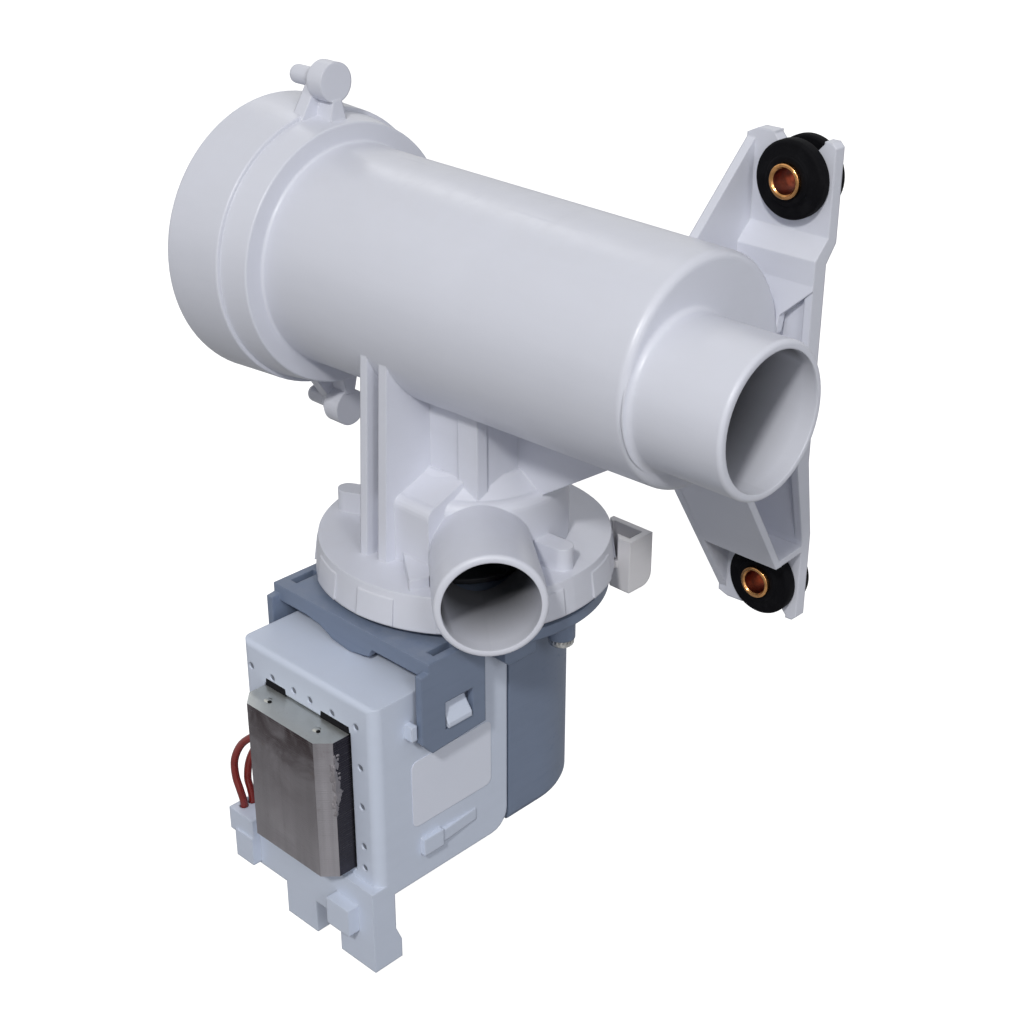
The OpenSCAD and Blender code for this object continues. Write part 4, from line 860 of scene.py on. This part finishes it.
# Name, direction from the pump, distance and width in metres, power in watts, and colour
LAMPS = (
    ("key panel", (0.37, -0.66, 0.65), 1.6, 0.16, 12.2, (1.0, 0.99, 0.97)),
    ("right fill", (0.8, -0.35, 0.5), 1.6, 0.5, 5.6, (0.96, 0.97, 1.0)),
    ("back strip", (-0.64, 0.39, 0.67), 1.6, 0.16, 1.0, (1.0, 1.0, 1.0)),
)
LAMP_TARGET = (0.0, 0.0, 30.0)
ROOM_LIGHT, ROOM_STRENGTH = (0.93, 0.95, 1.0, 1.0), 0.31
WHITE = (1.0, 1.0, 1.0, 1.0)
PAPER_TONES = ((0.3, 0.3, 0.3, 1.0), (0.32, 0.32, 0.32, 1.0))
# From the floor's middle to its sides, and from the pump down to it, in metres
FLOOR_REACH, FLOOR_GAP = 4.0, 0.001


def place_camera():
    """The camera stands where the photograph was taken."""
    data = bpy.data.cameras.new("Camera")
    data.sensor_width = SENSOR_WIDTH
    data.lens = sizes().lens
    camera = bpy.data.objects.new("Camera", data)
    bpy.context.scene.collection.objects.link(camera)
    camera.location = at(*CAMERA_PLACE)
    camera.rotation_euler = (math.radians(90 - CAMERA_ELEVATION), math.radians(CAMERA_ROLL),
                             math.radians(CAMERA_AZIMUTH))
    bpy.context.scene.camera = camera


def floor_material():
    """Matt paper that the camera and reflections see as white."""
    material, tree, shader = blank_material("white paper floor")
    path = add(tree, "ShaderNodeLightPath").outputs
    glow = combined(tree, "ADD", path["Is Camera Ray"], scaled(tree, path["Is Glossy Ray"], 0.2))
    tone = noise_of(tree, object_place(tree), 3.0, 3.0)
    wire(tree, (blend_colours(tree, tone, *PAPER_TONES), shader.inputs["Base Color"]),
         (glow, shader.inputs["Emission Strength"]))
    shader.inputs["Roughness"].default_value = 0.9
    shader.inputs["Emission Color"].default_value = WHITE
    return material


def make_floor():
    """A wide sheet of paper just under the pump."""
    bm = bmesh.new()
    bmesh.ops.create_grid(bm, x_segments=2, y_segments=2, size=FLOOR_REACH)
    bmesh.ops.translate(bm, verts=bm.verts, vec=(0.0, 0.0, CAD_BOX[0][2] - FLOOR_GAP))
    mesh = bpy.data.meshes.new("floor")
    bm.to_mesh(mesh)
    bm.free()
    mesh.materials.append(floor_material())
    floor = bpy.data.objects.new("floor", mesh)
    bpy.context.scene.collection.objects.link(floor)


def hang_lamps():
    """Round soft lamps that look at the pump's head."""
    target = at(*LAMP_TARGET)
    for name, way, distance, width, power, colour in LAMPS:
        data = bpy.data.lights.new(name, "AREA")
        data.shape = "DISK"
        data.size = width
        data.energy = power
        data.color = colour
        lamp = bpy.data.objects.new(name, data)
        bpy.context.scene.collection.objects.link(lamp)
        lamp.location = target + Vector(way).normalized() * distance
        lamp.rotation_euler = (target - lamp.location).to_track_quat("-Z", "Y").to_euler()


def light_world():
    """Even pale light, and plain white where the camera or a reflection meets the background."""
    world = bpy.data.worlds.new("pale room")
    bpy.context.scene.world = world
    world.use_nodes = True
    tree = world.node_tree
    room = tree.nodes["Background"]
    room.inputs["Color"].default_value = ROOM_LIGHT
    room.inputs["Strength"].default_value = ROOM_STRENGTH
    white = add(tree, "ShaderNodeBackground", {"Color": WHITE, "Strength": 1.0})
    path = add(tree, "ShaderNodeLightPath").outputs
    seen = combined(tree, "MAXIMUM", path["Is Camera Ray"], path["Is Glossy Ray"])
    seen = combined(tree, "MAXIMUM", seen, path["Is Transmission Ray"])
    mix = add(tree, "ShaderNodeMixShader")
    wire(tree, (seen, mix.inputs["Fac"]), (room.outputs[0], mix.inputs[1]),
         (white.outputs[0], mix.inputs[2]),
         (mix.outputs[0], tree.nodes["World Output"].inputs["Surface"]))


# Operators

class DRAINPUMP_OT_studio(bpy.types.Operator):
    """Lay the floor, hang the lamps and light the pale room"""
    bl_idname = "drain_pump.studio"
    bl_label = "Studio"

    def execute(self, context):
        context.scene.view_settings.view_transform = "Standard"
        make_floor()
        hang_lamps()
        light_world()
        return {"FINISHED"}


class DRAINPUMP_OT_camera(bpy.types.Operator):
    """Place the camera where the photograph was taken"""
    bl_idname = "drain_pump.camera"
    bl_label = "Camera"

    def execute(self, context):
        place_camera()
        return {"FINISHED"}


class DRAINPUMP_OT_leads(bpy.types.Operator):
    """Lay the two red leads from the coils to the strain relief"""
    bl_idname = "drain_pump.leads"
    bl_label = "Leads"

    def execute(self, context):
        make_leads()
        return {"FINISHED"}


class DRAINPUMP_OT_finishes(bpy.types.Operator):
    """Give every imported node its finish"""
    bl_idname = "drain_pump.finishes"
    bl_label = "Finishes"

    def execute(self, context):
        dress_nodes()
        return {"FINISHED"}


class DRAINPUMP_OT_bracket_fittings(bpy.types.Operator):
    """Build the rubber grommets and the copper-plated sleeves of the bracket"""
    bl_idname = "drain_pump.bracket_fittings"
    bl_label = "Bracket Fittings"

    def execute(self, context):
        make_grommets()
        make_sleeves()
        return {"FINISHED"}


class DRAINPUMP_OT_yoke(bpy.types.Operator):
    """Build the lamination stack with its dimples and weld"""
    bl_idname = "drain_pump.yoke"
    bl_label = "Yoke"

    def execute(self, context):
        make_yoke()
        make_dimples()
        make_weld()
        return {"FINISHED"}


class DRAINPUMP_OT_cover_recesses(bpy.types.Operator):
    """Build the painted shade in the cover's dots and notches"""
    bl_idname = "drain_pump.cover_recesses"
    bl_label = "Cover Recesses"

    def execute(self, context):
        make_cover_recesses()
        return {"FINISHED"}


class DRAINPUMP_OT_label(bpy.types.Operator):
    """Lay the blank label on the cover's side"""
    bl_idname = "drain_pump.label"
    bl_label = "Label"

    def execute(self, context):
        make_label()
        return {"FINISHED"}


class DRAINPUMP_OT_screws(bpy.types.Operator):
    """Build the three screws that join the pump head and the motor"""
    bl_idname = "drain_pump.screws"
    bl_label = "Screws"

    def execute(self, context):
        make_screws()
        return {"FINISHED"}


class DRAINPUMP_OT_coils(bpy.types.Operator):
    """Build both coils as wound wire"""
    bl_idname = "drain_pump.coils"
    bl_label = "Coils"

    def execute(self, context):
        make_coils()
        return {"FINISHED"}


# In building order: the camera and the cords come first
STEPS = (DRAINPUMP_OT_camera, DRAINPUMP_OT_leads, DRAINPUMP_OT_studio, DRAINPUMP_OT_finishes,
         DRAINPUMP_OT_bracket_fittings, DRAINPUMP_OT_yoke, DRAINPUMP_OT_cover_recesses,
         DRAINPUMP_OT_label, DRAINPUMP_OT_screws, DRAINPUMP_OT_coils)


class DRAINPUMP_PT_panel(bpy.types.Panel):
    """Sizes, colours and building steps of the drain pump"""
    bl_idname = "DRAINPUMP_PT_panel"
    bl_label = "Drain Pump"
    bl_space_type = "VIEW_3D"
    bl_region_type = "UI"
    bl_category = "Drain Pump"

    def draw(self, context):
        layout = self.layout
        for group in (context.scene.drain_pump_sizes, context.scene.drain_pump_colours):
            for name in group.bl_rna.properties.keys():
                if name not in {"rna_type", "name"}:
                    layout.prop(group, name)
        for step in STEPS:
            layout.operator(step.bl_idname)


CLASSES = (DrainPumpSizes, DrainPumpColours) + STEPS + (DRAINPUMP_PT_panel,)


def register():
    for kind in CLASSES:
        bpy.utils.register_class(kind)
    bpy.types.Scene.drain_pump_sizes = PointerProperty(type=DrainPumpSizes)
    bpy.types.Scene.drain_pump_colours = PointerProperty(type=DrainPumpColours)


def unregister():
    del bpy.types.Scene.drain_pump_colours
    del bpy.types.Scene.drain_pump_sizes
    for kind in reversed(CLASSES):
        bpy.utils.unregister_class(kind)


def main():
    """Build everything in order."""
    register()
    for step in STEPS:
        group, name = step.bl_idname.split(".")
        getattr(getattr(bpy.ops, group), name)()


if __name__ == "__main__":
    main()
